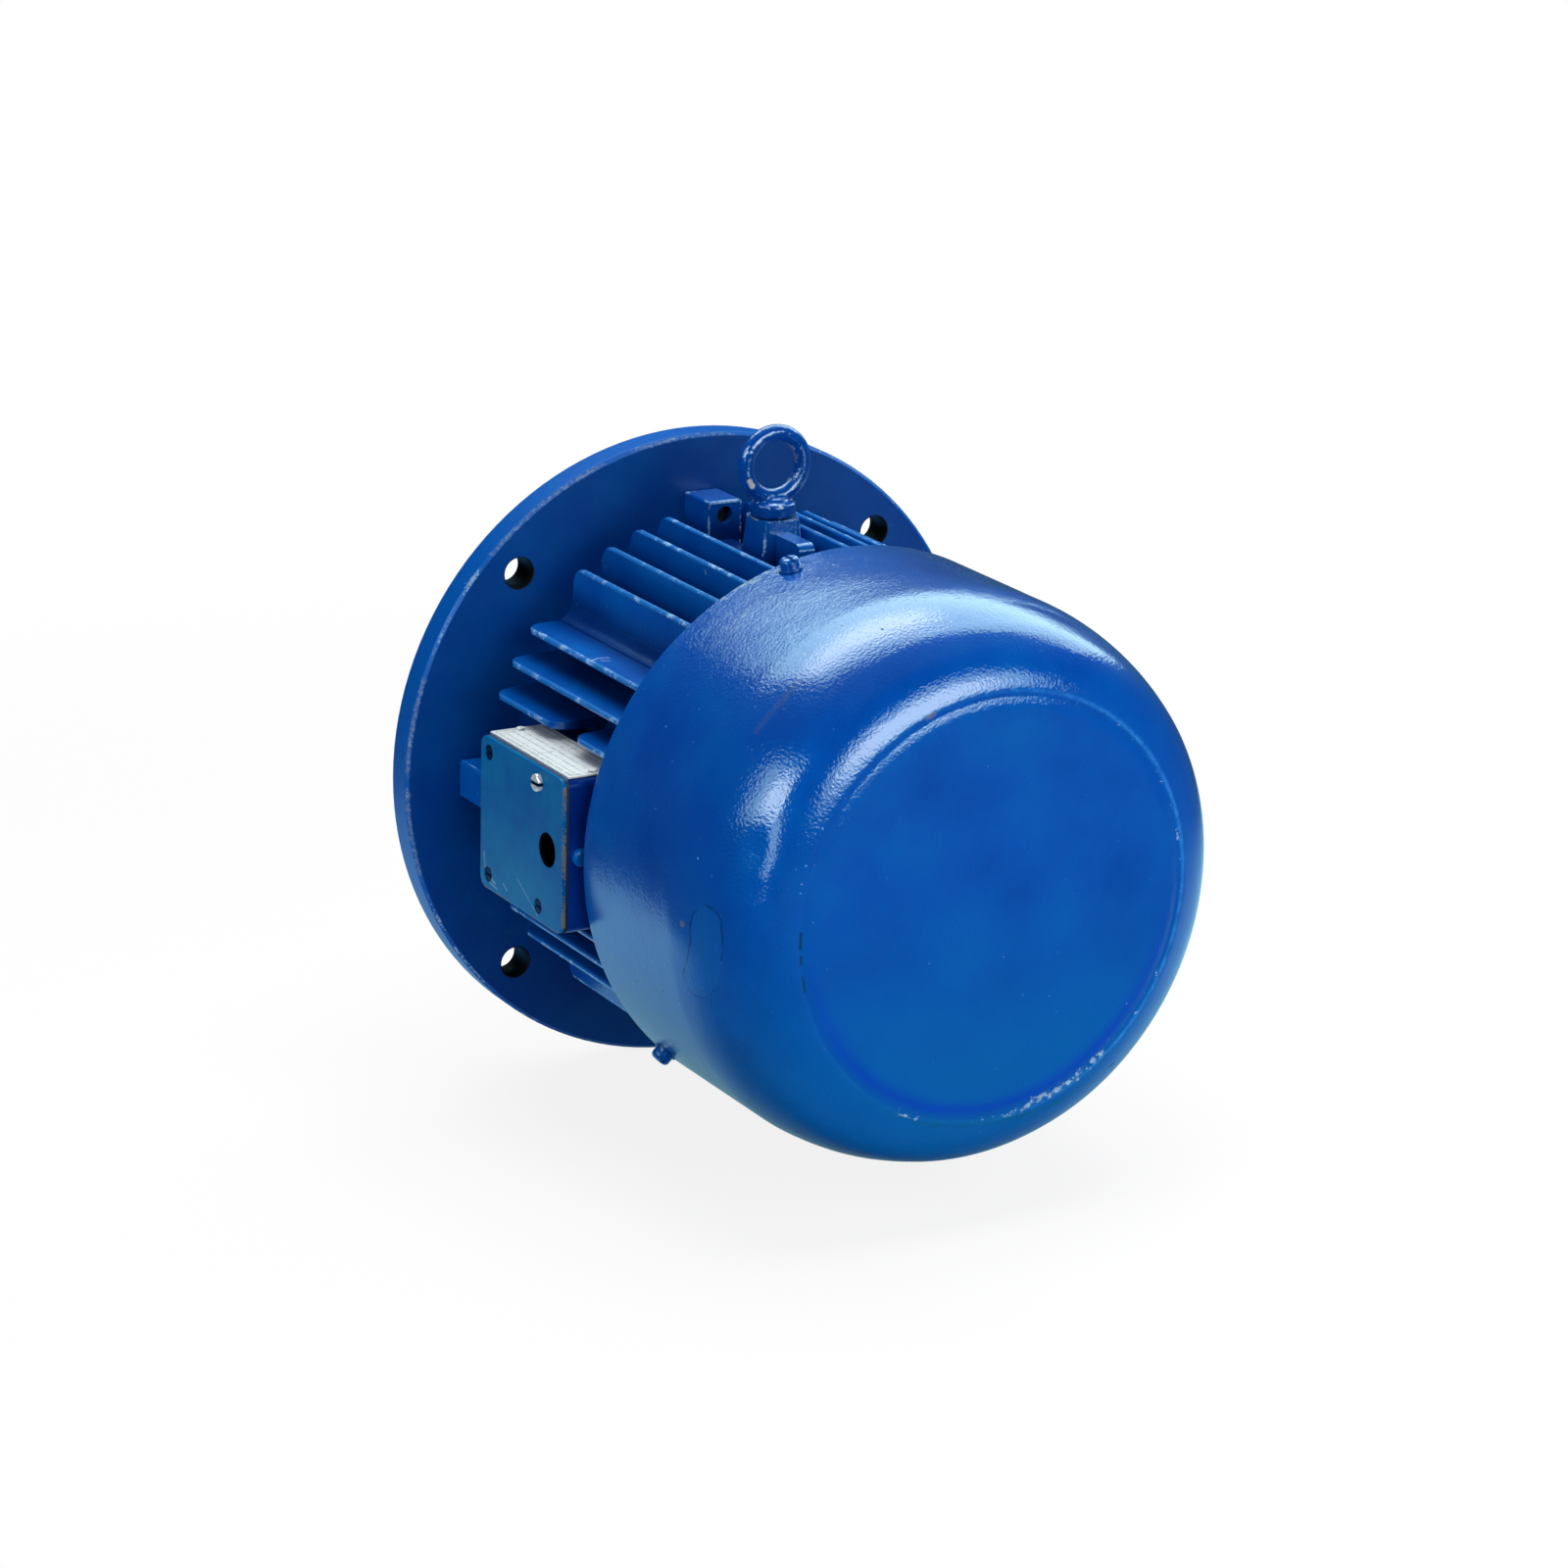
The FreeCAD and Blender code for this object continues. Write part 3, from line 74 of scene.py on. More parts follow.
def hexColour(code, alpha=1.0):
    # sRGB hex to linear: c / 12.92 below 0.04045, else ((c + 0.055) / 1.055) ** 2.4
    parts = np.array([int(code[i:i + 2], 16) for i in (1, 3, 5)]) / 255
    linear = np.where(parts <= 0.04045, parts / 12.92, ((parts + 0.055) / 1.055) ** 2.4)
    return (*linear.tolist(), alpha)


def addNode(tree, kind, wires=None, out=0, **settings):
    # adds one shader node: settings first, then each input takes a link or a fixed value
    node = tree.nodes.new("ShaderNode" + kind)
    for name, value in settings.items():
        setattr(node, name, value)
    for key, value in (wires or {}).items():
        if isinstance(value, bpy.types.NodeSocket):
            tree.links.new(value, node.inputs[key])
        else:
            node.inputs[key].default_value = value
    return node.outputs[out]


# Short forms of the nodes that the coats use most
def calc(tree, operation, *values, clamp=False):
    return addNode(tree, "Math", dict(enumerate(values)), operation=operation, use_clamp=clamp)


def measure(tree, operation, *values):
    # one number from vectors: a length, a distance or a dot product
    return addNode(tree, "VectorMath", dict(enumerate(values)), out="Value", operation=operation)


def lessVector(tree, first, second):
    return addNode(tree, "VectorMath", {0: first, 1: second}, operation="SUBTRACT")


def noiseOf(tree, place, grain, detail, rough=0.5):
    return addNode(tree, "TexNoise", {"Vector": place, "Scale": 1 / grain, "Detail": detail, "Roughness": rough})


def slide(tree, value, start, end, least=0.0, most=1.0, smooth=False):
    # least where the value is at start, most where it is at end, and held outside
    limits = {"Value": value, "From Min": start, "From Max": end, "To Min": least, "To Max": most}
    return addNode(tree, "MapRange", limits, interpolation_type="SMOOTHSTEP" if smooth else "LINEAR")


def mixTone(tree, share, first, second):
    return addNode(tree, "Mix", {"Factor": share, 6: first, 7: second}, out=2, data_type="RGBA")


def mixValue(tree, share, first, second):
    return addNode(tree, "Mix", {"Factor": share, 2: first, 3: second})


def splitOf(tree, place):
    return addNode(tree, "SeparateXYZ", {0: place}, out=slice(0, 3))


def offMiddle(tree, value, middle):
    return calc(tree, "ABSOLUTE", calc(tree, "SUBTRACT", value, middle))


def newMaterial(name):
    # an empty material, and Object coordinates turned to millimetres
    material = bpy.data.materials.new(name)
    material.use_nodes = True
    tree = material.node_tree
    tree.nodes.clear()
    place = addNode(tree, "TexCoord", out="Object")
    inMm = addNode(tree, "VectorMath", {0: place, 3: 1 / mm}, operation="SCALE")
    return material, tree, inMm


def finishMaterial(tree, wires):
    surface = addNode(tree, "BsdfPrincipled", wires)
    addNode(tree, "OutputMaterial", {"Surface": surface}, out=slice(0, 0))


def meshFrom(name, points, quads, triangles=None):
    # arrays straight into a mesh: quads first, then triangles, all smooth
    mesh = bpy.data.meshes.new(name)
    triangles = np.zeros((0, 3), int) if triangles is None else triangles
    loops = np.concatenate([quads.reshape(-1), triangles.reshape(-1)]).astype(np.int32)
    sizes = np.concatenate([np.full(len(quads), 4), np.full(len(triangles), 3)]).astype(np.int32)
    starts = np.concatenate([[0], np.cumsum(sizes)[:-1]]).astype(np.int32)
    mesh.vertices.add(len(points))
    mesh.vertices.foreach_set("co", points.astype(np.float32).reshape(-1))
    mesh.loops.add(len(loops))
    mesh.loops.foreach_set("vertex_index", loops)
    mesh.polygons.add(len(sizes))
    mesh.polygons.foreach_set("loop_start", starts)
    mesh.update(calc_edges=True)
    mesh.validate()
    mesh.shade_smooth()
    return mesh


def linkPiece(name, data):
    piece = bpy.data.objects.new(name, data)
    bpy.context.scene.collection.objects.link(piece)
    return piece


def paint(piece, material):
    piece.data.materials.clear()
    piece.data.materials.append(material)


# Masks that several coats share; all lengths in millimetres
def radiusOf(tree, place):
    # distance from the shaft axis, and the three coordinates
    parts = splitOf(tree, place)
    flat = addNode(tree, "CombineXYZ", {0: parts[0], 2: parts[2]})
    return measure(tree, "LENGTH", flat), parts


def shaftRadius(tree, place):
    return radiusOf(tree, place)[0]


def heightOf(tree, place):
    return splitOf(tree, place)[2]


def fieldOf(tree, name):
    return addNode(tree, "Attribute", {}, out="Fac", attribute_name=name)


def strokeGap(tree, place, strokes):
    # distance from the nearest stroke: how far a point is from a straight line, less half the line's width
    gap = None
    for start, end, half in strokes:
        span = Vector(end) - Vector(start)
        away = lessVector(tree, place, start)
        if span.length > 0:
            share = measure(tree, "DOT_PRODUCT", away, span / span.length_squared)
            share = addNode(tree, "Clamp", {"Value": share})
            reach = addNode(tree, "VectorMath", {0: span, "Scale": share}, operation="SCALE")
            away = lessVector(tree, away, reach)
        away = calc(tree, "SUBTRACT", measure(tree, "LENGTH", away), half)
        gap = away if gap is None else calc(tree, "MINIMUM", gap, away)
    return gap


def raggedMask(tree, place, gap, grain, rag, soft=0.25, most=1.0):
    # 1 inside a distance field whose outline is shaken by noise of this grain and reach
    shake = noiseOf(tree, place, grain, 3.0, 0.65)
    gap = calc(tree, "MULTIPLY_ADD", shake, 2 * rag, gap)
    return slide(tree, gap, rag + soft, rag - soft, most=most)


def edgeBand(tree, faces, reach):
    # near one face each term is 1, so their sum less 1 rises only where two faces meet
    total = None
    for distance in faces:
        near = slide(tree, calc(tree, "ABSOLUTE", distance), reach, reach / 4, smooth=True)
        total = near if total is None else calc(tree, "ADD", total, near)
    return calc(tree, "SUBTRACT", total, 1.0, clamp=True)


# Enamel: thick air-dried alkyd paint, brushed and sprayed by hand over iron and steel.
# The eye gets a deep, slightly uneven blue, a wide blue-green sheen from the pigment, a wet clear gloss
# over it whose orange peel breaks the highlights into grain, and pale flecks where edges were knocked.
enamel = dict(
    deep="#003D96", blue="#0046A0", lift="#0050A4", stops=(0.3, 0.5, 0.7),  # thin to thick coats
    chip="#A9CBE6", primer="#4F6C88", chipSoft=0.06, chipRough=0.42, chipStep=-0.03, mottle=46.0, index=1.5,
    wet=1.0, sheen=0.13, sheenTint=(0.0, 0.62, 0.95, 1.0), sheenRough=0.36)


def paintEnamel(name, look, coats=(), bumps=()):
    # look: tones, gloss, and grain sizes with their depths, over those above; each further coat tells where it
    # lies (0 to 1), its tone, and its roughness, metal share and height step where they differ from the paint's
    look = dict(enamel, **look)
    material, tree, place = newMaterial(name)
    ramp = addNode(tree, "ValToRGB", {"Fac": noiseOf(tree, place, look["mottle"], 3.0, 0.55)})
    stops = ramp.node.color_ramp.elements
    stops.new(look["stops"][1])
    for stop, at, tone in zip(stops, look["stops"], ("deep", "blue", "lift")):
        stop.position = at
        stop.color = hexColour(look[tone])
    colour, metal, wet, rough = ramp, 0.0, look["wet"], look["sheenRough"]
    peel = noiseOf(tree, place, look["peel"], 1.0)
    swell = noiseOf(tree, place, look["swell"], 2.0)
    height = calc(tree, "MULTIPLY", peel, look["peelDepth"])
    height = calc(tree, "MULTIPLY_ADD", swell, look["swellDepth"], height)
    for coatOf in coats:
        coat = coatOf(tree, place)
        where = coat["where"]
        colour = mixTone(tree, where, colour, coat["tone"])
        if "rough" in coat:  # a coat with its own roughness lies over the gloss
            rough = mixValue(tree, where, rough, coat["rough"])
            wet = mixValue(tree, where, wet, 0.0)
        if "metal" in coat:
            metal = mixValue(tree, where, metal, coat["metal"])
        if "step" in coat:
            height = calc(tree, "MULTIPLY_ADD", where, coat["step"], height)
    for bumpOf in bumps:
        height = calc(tree, "ADD", height, bumpOf(tree, place))
    bump = addNode(tree, "Bump", {"Height": height, "Distance": mm, "Strength": 1.0})
    finishMaterial(tree, {
        "Base Color": colour, "Roughness": rough, "Metallic": metal, "Normal": bump, "IOR": look["index"],
        "Specular IOR Level": look["sheen"], "Specular Tint": look["sheenTint"], "Coat Weight": wet,
        "Coat Roughness": look["rough"], "Coat IOR": look["index"], "Coat Normal": bump})
    return material


def chipCoat(zoneOf, grain, drift, level, gain, tone=enamel["chip"], under=enamel["primer"]):
    # worn flecks: the zone lifts a fine noise over its threshold, so chips stay ragged
    def coatOf(tree, place):
        fleck = noiseOf(tree, place, grain, 4.0, 0.7)
        height = calc(tree, "ADD", fleck, noiseOf(tree, place, drift, 1.0))
        height = calc(tree, "MULTIPLY_ADD", zoneOf(tree, place), gain, height)
        where = slide(tree, height, level, level + enamel["chipSoft"])
        mixed = mixTone(tree, fleck, hexColour(under), hexColour(tone))
        return dict(where=where, tone=mixed, rough=enamel["chipRough"], step=enamel["chipStep"])
    return coatOf


def strokeCoat(strokes, tone, grain, rag, soft=0.25, most=1.0, **more):
    # marks laid along straight strokes: scratches, cracks, pinholes, rubbed patches
    def coatOf(tree, place):
        where = raggedMask(tree, place, strokeGap(tree, place, strokes), grain, rag, soft, most)
        return dict(where=where, tone=hexColour(tone), **more)
    return coatOf


def paintedShadingCoat(valueOf, tone, clear, full, most=1.0):
    # painted light and shade: a slow change of tone along one measure of the piece, standing in for how light falls
    # on it
    def coatOf(tree, place):
        where = slide(tree, valueOf(tree, place), clear, full, most=most, smooth=True)
        return dict(where=where, tone=hexColour(tone))
    return coatOf


# Rear hood: a steel bowl spun over a form. Radius and height follow one profile turned round the shaft:
# a rolled rim, a cylinder, a slow taper, a tight shoulder, a pressed groove and a flat end.
hood = dict(
    wall=1.6, rimRoll=0.8, taperRadius=110.0, taperAngle=21.0, shoulderRadius=34.0,
    grooveRadius=94.4, grooveDepth=0.75, grooveInner=4.2, grooveOuter=1.5, groovePower=1.6,
    around=760, oval=0.22, ripple=0.012, rippleStep=6.5, dimple=0.10, flatInside=60.0,
    rollRings=5, sideRings=28, taperRings=20, shoulderRings=30, shoulderEnd=5.0,
    rimRings=[1.6, 2.6, 4.0, 6.0, 8.5], sideStart=11.0,  # distances from the rim
    lipRings=[4.2, 3.4, 2.7, 2.1, 1.6, 1.2, 0.8, 0.4, 0.0, -0.4, -0.8, -1.2, -1.7, -2.3, -3.0, -3.8, -4.7, -5.7,
              -7.0],  # distances out from the groove
    flatStep=2.5, flatRings=12, flatEnd=12.0, poleRings=[6.0, 2.0],
    innerRings=[0.5, 20, 45, 71, 85, 100, 112, 122, 132, 150, 175],  # distances along the skin
    dents=[  # angle, distance from the rim along the skin, half sizes across and along, depth
        (161.0, 120.5, 7.0, 5.0, 0.55), (169.0, 123.0, 5.0, 6.0, 0.25), (69.5, 93.5, 14.0, 2.6, 0.5),
        (66.0, 97.5, 9.0, 4.0, 0.35), (128.0, 70.0, 40.0, 22.0, 0.25), (20.0, 60.0, 30.0, 18.0, 0.3),
        (-70.0, 108.0, 16.0, 7.0, 0.35)])
# marks on the hood's paint, by angle round the shaft and distance from the rim, with half widths
hoodMarks = dict(
    pinholes=[(118.0, 40.0, 0.55), (112.5, 80.4, 0.45), (107.8, 96.8, 0.6), (124.8, 63.1, 0.4), (123.0, 67.9, 0.4),
              (-159.8, 37.6, 0.5), (-161.7, 63.1, 0.5), (31.0, 50.0, 0.5), (-20.0, 88.0, 0.6)],
    specks=[(166.8, 93.4, 0.5), (147.5, 36.4, 0.45), (147.6, 60.6, 0.4), (131.5, 61.9, 0.35), (136.0, 83.9, 0.4),
            (141.5, 50.9, 0.35), (150.7, 144.1, 0.4), (160.6, 143.6, 0.3), (165.2, 144.1, 0.35),
            (167.4, 144.5, 0.3), (162.0, 139.9, 0.25)],
    cracks=[((177.9, 147.4), (-178.1, 147.4), 0.75), ((-175.7, 147.6), (-173.6, 147.5), 0.6),
            ((-170.3, 147.6), (-166.1, 147.5), 0.5)],
    scuffs=[((128.2, 94.0), (133.8, 94.1), 1.3), ((133.8, 94.1), (139.8, 93.4), 0.9)],
    rusts=[((-179.6, 88.6), (-179.4, 88.6), 1.3), ((110.2, 145.5), (112.0, 145.5), 0.9)],
    dashes=[((-118.9, 109.8), (-117.6, 113.5), 0.35), ((-114.6, 114.6), (-112.0, 114.2), 0.4),
            ((-94.6, 121.6), (-92.6, 122.2), 0.4), ((-51.6, 135.5), (-50.2, 134.4), 0.7)],
    run=[(-176.7, 94.1), (-174.0, 92.1), (-171.6, 90.7), (-168.9, 86.6), (-166.7, 87.3), (-165.4, 89.3),
         (-164.6, 94.1), (-165.4, 100.9), (-167.5, 105.0), (-168.4, 108.5), (-171.0, 110.5), (-175.0, 112.3),
         (-178.9, 113.3), (-182.6, 111.9), (-184.4, 109.8), (-185.2, 101.6), (-182.7, 95.5), (-179.8, 94.1)],
    runMiddle=-175.0, runRadius=122.0)
# wear that fades out: angle and its spread, distance from the rim and its spread, weight
allRound = math.inf
hoodZones = dict(
    chipZone=[(-66, 26, 147.8, 3.0, 1.0), (-115, 4.5, 146.0, 1.3, 0.9), (0, allRound, 147.0, 1.4, 0.25),
              (20, 45, 147.0, 1.4, 0.4)],
    gritZone=[(113, 13, 0.0, 13.0, 1.0), (118, 10, 24.0, 9.0, 0.75), (0, allRound, 0.0, 1.3, 0.6)])
# grime along the groove (stain), a painted shade band inside the lower edge of the flat end (band), and a painted
# highlight along the groove's outer lip (lip)
grooveStainShadeGlint = dict(
    stainAt=145.0, stainDrop=10.0, dropFrom=-85.0, dropOver=35.0, stainReach=2.2, stainMiddle=-88.0,
    stainSpread=42.0, stainGrain=7.0, stainSpan=(0.25, 0.6), stainMost=0.6,
    bandAt=152.5, bandReach=3.2, bandGain=1.4, bandMost=0.7,
    lipAt=145.6, lipReach=0.9, lipLeast=0.3, lipTurn=0.1, lipGrain=5.0, lipSpan=(0.35, 0.65), lipShare=(0.2, 0.75))
driedRun = dict(rag=0.8, fillGrain=5.0, fillSoft=0.7, fillMost=0.3, edgeGrain=4.0, edge=(0.85, 0.25), edgeMost=0.9,
                breakGrain=9.0, breakSpan=(0.36, 0.56))
brush = dict(stretch=(0.05, 1.0, 1.0), grain=2.6, flatEnd=(-278.0, -280.0), depth=0.022)


def hoodProfile():
    # (radius, y, distance along the skin) from the rim to the pole, in millimetres
    low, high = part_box("rear_hood")
    radius, rim, end = high.x / mm, high.y / mm, low.y / mm
    shoulder, taper, groove = hood["shoulderRadius"], hood["taperRadius"], hood["grooveRadius"]
    lean = math.radians(90 - hood["taperAngle"])
    flatRadius = radius - taper * (1 - math.sin(lean)) - shoulder * math.sin(lean)
    shoulderTop = end + shoulder * (1 - math.cos(lean))
    cylinderEnd = shoulderTop + taper * math.cos(lean)
    roll = np.linspace(0, math.pi / 2, hood["rollRings"])
    rollR = radius - hood["rimRoll"] * (1 - np.sin(roll))
    rollY = rim - hood["rimRoll"] * (1 - np.cos(roll))
    sideY = np.concatenate([rim - np.array(hood["rimRings"]),
                            np.linspace(rim - hood["sideStart"], cylinderEnd, hood["sideRings"])])
    tilt = np.linspace(math.pi / 2, lean, hood["taperRings"])[1:]
    taperR = radius - taper * (1 - np.sin(tilt))
    taperY = cylinderEnd - taper * np.cos(tilt)
    shoulderStop = math.asin((groove + hood["shoulderEnd"] - flatRadius) / shoulder)
    turn = np.linspace(lean, shoulderStop, hood["shoulderRings"])[1:]
    shoulderR = flatRadius + shoulder * np.sin(turn)
    shoulderY = end + shoulder * (1 - np.cos(turn))
    lipR = groove + np.array(hood["lipRings"])
    lipTilt = np.arcsin(np.clip((lipR - flatRadius) / shoulder, 0, 1))
    lipY = end + shoulder * (1 - np.cos(lipTilt))
    flatR = np.linspace(lipR[-1] - hood["flatStep"], hood["flatEnd"], hood["flatRings"])
    flatR = np.concatenate([flatR, hood["poleRings"]])
    r = np.concatenate([rollR, np.full(len(sideY), radius), taperR, shoulderR, lipR, flatR])
    y = np.concatenate([rollY, sideY, taperY, shoulderY, lipY, np.full(len(flatR), end)])
    along = np.concatenate([[0], np.cumsum(np.hypot(np.diff(r), np.diff(y)))])
    away = r - groove
    width = np.where(away > 0, hood["grooveOuter"], hood["grooveInner"])  # steeper outside
    y = y + hood["grooveDepth"] * np.exp(-np.abs(away / width) ** hood["groovePower"])
    return r, y, along, end


def hoodPlace(angle, along):
    # a marked place on the skin as a point in space
    r, y, s = hoodProfile()[:3]
    radius, height = np.interp(along, s, r), np.interp(along, s, y)
    return (radius * math.cos(math.radians(angle)), float(height), radius * math.sin(math.radians(angle)))


def outlineGap(u, v, corners):
    # signed distance to a closed outline: nearest edge, negative where a ray to the side crosses it an odd time
    gap, inside = np.full(u.shape, 1e3), np.zeros(u.shape, bool)
    for (u0, v0), (u1, v1) in zip(corners, np.roll(corners, -1, axis=0)):
        share = ((u - u0) * (u1 - u0) + (v - v0) * (v1 - v0)) / ((u1 - u0) ** 2 + (v1 - v0) ** 2)
        share = np.clip(share, 0, 1)
        gap = np.minimum(gap, np.hypot(u - u0 - share * (u1 - u0), v - v0 - share * (v1 - v0)))
        if v1 != v0:
            inside ^= ((v0 > v) != (v1 > v)) & (u < u0 + (u1 - u0) * (v - v0) / (v1 - v0))
    return np.where(inside, -gap, gap)


def halfTurn(degrees):
    return (degrees + 180) % 360 - 180


def bell(value, middle, reach):
    # 1 at the middle, fading to both sides: e to the minus square of the distance in reaches
    return np.exp(-((value - middle) / reach) ** 2)


def hoodFields(a, s, rr):
    # one value per point of the skin for the paint's marks: a dried run's outline, and zones of wear, of painted
    # shade and of painted highlight
    marks, wear = hoodMarks, grooveStainShadeGlint
    corners = [(math.radians(at - marks["runMiddle"]) * marks["runRadius"], far) for at, far in marks["run"]]
    side = np.radians(halfTurn(np.degrees(a) - marks["runMiddle"])) * rr
    fields = dict(runGap=outlineGap(side, s, np.array(corners)))
    degrees = halfTurn(np.degrees(a))
    for name, zones in hoodZones.items():
        fields[name] = sum(weight * bell(degrees, at, spread) * bell(s, far, reach)
                           for at, spread, far, reach, weight in zones)
    path = wear["stainAt"] - wear["stainDrop"] * np.clip((degrees - wear["dropFrom"]) / wear["dropOver"], 0, 1)
    ends = np.exp(-((degrees - wear["stainMiddle"]) / wear["stainSpread"]) ** 4)
    lower = np.clip(-np.sin(a) * wear["bandGain"], 0, 1)
    right = np.clip(wear["lipLeast"] + np.cos(a - wear["lipTurn"]), 0, 1)
    fields["stainZone"] = bell(s, path, wear["stainReach"]) * ends
    fields["bandShadeZone"] = bell(s, wear["bandAt"], wear["bandReach"]) * lower
    fields["lipGlintZone"] = bell(s, wear["lipAt"], wear["lipReach"]) * right
    return fields


def makeHood():
    r, y, along, end = hoodProfile()
    angle = np.linspace(0, 2 * math.pi, hood["around"], endpoint=False)
    slopeR, slopeY = np.gradient(r), np.gradient(y)
    size = np.hypot(slopeR, slopeY)
    outR, outY = -slopeY / size, slopeR / size  # outward normal of the profile
    a, s = np.meshgrid(angle, along)
    rr = r[:, None] * np.ones_like(a)
    # pushed along the normal by a slow oval, fine spinning rings, shallow waves and dents; the flat end stays flat
    fade = np.clip(rr / hood["flatInside"] - 1, 0, 1)
    push = fade * hood["oval"] * (np.sin(2 * a + 0.6) + 0.5 * np.sin(3 * a + 2.1) * np.sin(s / 34))
    push += fade * hood["ripple"] * np.sin(s * 2 * math.pi / hood["rippleStep"])
    push += fade * hood["dimple"] * np.sin(7 * a + s / 11) * np.sin(s / 17 + 2 * a)
    for at, far, across, length, depth in hood["dents"]:
        turn = np.radians(halfTurn(at - np.degrees(a)))
        push -= depth * bell(turn * rr, 0, across) * bell(s, far, length)
    push[:hood["rollRings"]] *= np.linspace(0.5, 1, hood["rollRings"])[:, None]
    skinR = np.minimum(rr + push * outR[:, None], r[0] + hood["rimRoll"])
    skinY = np.maximum(y[:, None] + push * outY[:, None], end)
    # the inner wall follows a few rings of the same profile, one wall thickness inside
    inner = np.searchsorted(along, hood["innerRings"])
    inR = r[inner, None] - hood["wall"] * np.maximum(outR[inner, None], 0) + 0 * a[inner]
    inY = y[inner, None] - hood["wall"] * np.minimum(outY[inner, None], 0) + 0 * a[inner]
    inY[0] = skinY[0]
    gridR = np.concatenate([skinR[::-1], inR])
    gridY = np.concatenate([skinY[::-1], inY])
    gridA = np.concatenate([a, a[inner]])
    points = np.stack([gridR * np.cos(gridA), gridY, gridR * np.sin(gridA)], -1).reshape(-1, 3)
    poles = np.array([[0, skinY[-1].mean(), 0], [0, inY[-1].mean(), 0]])
    rows, columns = gridR.shape
    i, j = np.meshgrid(np.arange(rows - 1), np.arange(columns), indexing="ij")
    k = (j + 1) % columns
    quads = np.stack([i * columns + j, (i + 1) * columns + j, (i + 1) * columns + k, i * columns + k], -1)
    ring = np.arange(columns)
    after = (ring + 1) % columns
    last, pole = (rows - 1) * columns, rows * columns
    capOut = np.stack([np.full(columns, pole), ring, after], -1)
    capIn = np.stack([last + ring, np.full(columns, pole + 1), last + after], -1)
    mesh = meshFrom("rearHoodSkin", np.concatenate([points, poles]) * mm, quads.reshape(-1, 4),
                    np.concatenate([capOut, capIn]))
    for name, field in hoodFields(a, s, rr).items():
        unmarked = 99.0 if name == "runGap" else 0.0  # for the inner wall
        values = np.full(len(mesh.vertices), unmarked, np.float32)
        values[:field.size] = field[::-1].reshape(-1)
        mesh.attributes.new(name, "FLOAT", "POINT").data.foreach_set("value", values)
    piece = linkPiece("rearHoodSkin", mesh)
    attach(piece, "motor_frame")
    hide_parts("rear_hood")
    return piece


def marksOn(name):
    # marked places of one kind as strokes in space
    strokes = []
    for mark in hoodMarks[name]:
        start, end = mark[:2] if isinstance(mark[0], tuple) else (mark[:2], mark[:2])
        strokes.append((hoodPlace(*start), hoodPlace(*end), mark[2]))
    return strokes


def runFill(tree, place):
    # thinned paint that ran down and dried lighter
    where = raggedMask(tree, place, fieldOf(tree, "runGap"), driedRun["fillGrain"], driedRun["rag"],
                       driedRun["fillSoft"], driedRun["fillMost"])
    return dict(where=where, tone=hexColour("#005CA8"))


def runEdge(tree, place):
    # its dark outline, broken here and there
    shake = noiseOf(tree, place, driedRun["edgeGrain"], 2.0)
    gap = calc(tree, "MULTIPLY_ADD", shake, 2 * driedRun["rag"], fieldOf(tree, "runGap"))
    line = slide(tree, offMiddle(tree, gap, driedRun["rag"]), *driedRun["edge"], most=driedRun["edgeMost"])
    faint = slide(tree, noiseOf(tree, place, driedRun["breakGrain"], 2.0), *driedRun["breakSpan"])
    return dict(where=calc(tree, "MULTIPLY", line, faint), tone=hexColour("#003468"), step=-0.03)


def grooveStain(tree, place):
    # greenish grime caught along the groove low on the shoulder
    rag = noiseOf(tree, place, grooveStainShadeGlint["stainGrain"], 4.0, 0.65)
    level = calc(tree, "MULTIPLY", fieldOf(tree, "stainZone"), rag)
    where = slide(tree, level, *grooveStainShadeGlint["stainSpan"], most=grooveStainShadeGlint["stainMost"])
    return dict(where=where, tone=hexColour("#02506C"), rough=0.35)


def lowerBandShade(tree, place):
    # painted shade: a deeper blue band inside the lower edge of the flat end, where the surface faces down
    where = calc(tree, "MULTIPLY", fieldOf(tree, "bandShadeZone"), grooveStainShadeGlint["bandMost"])
    return dict(where=where, tone=hexColour("#0034AC"))


def grooveLipGlint(tree, place):
    # painted highlight: a pale line along the groove's outer lip, strongest on the right
    rag = noiseOf(tree, place, grooveStainShadeGlint["lipGrain"], 4.0, 0.65)
    rag = slide(tree, rag, *grooveStainShadeGlint["lipSpan"], *grooveStainShadeGlint["lipShare"])
    return dict(where=calc(tree, "MULTIPLY", fieldOf(tree, "lipGlintZone"), rag), tone=hexColour("#2F86D6"))


def brushStreaks(tree, place):
    # faint level strokes of the brush across the flat end
    drawn = addNode(tree, "Mapping", {0: place, "Scale": brush["stretch"]})
    flat = slide(tree, splitOf(tree, place)[1], *brush["flatEnd"], most=brush["depth"])
    return calc(tree, "MULTIPLY", noiseOf(tree, drawn, brush["grain"], 3.0), flat)


def fieldZone(name):
    return lambda tree, place: fieldOf(tree, name)


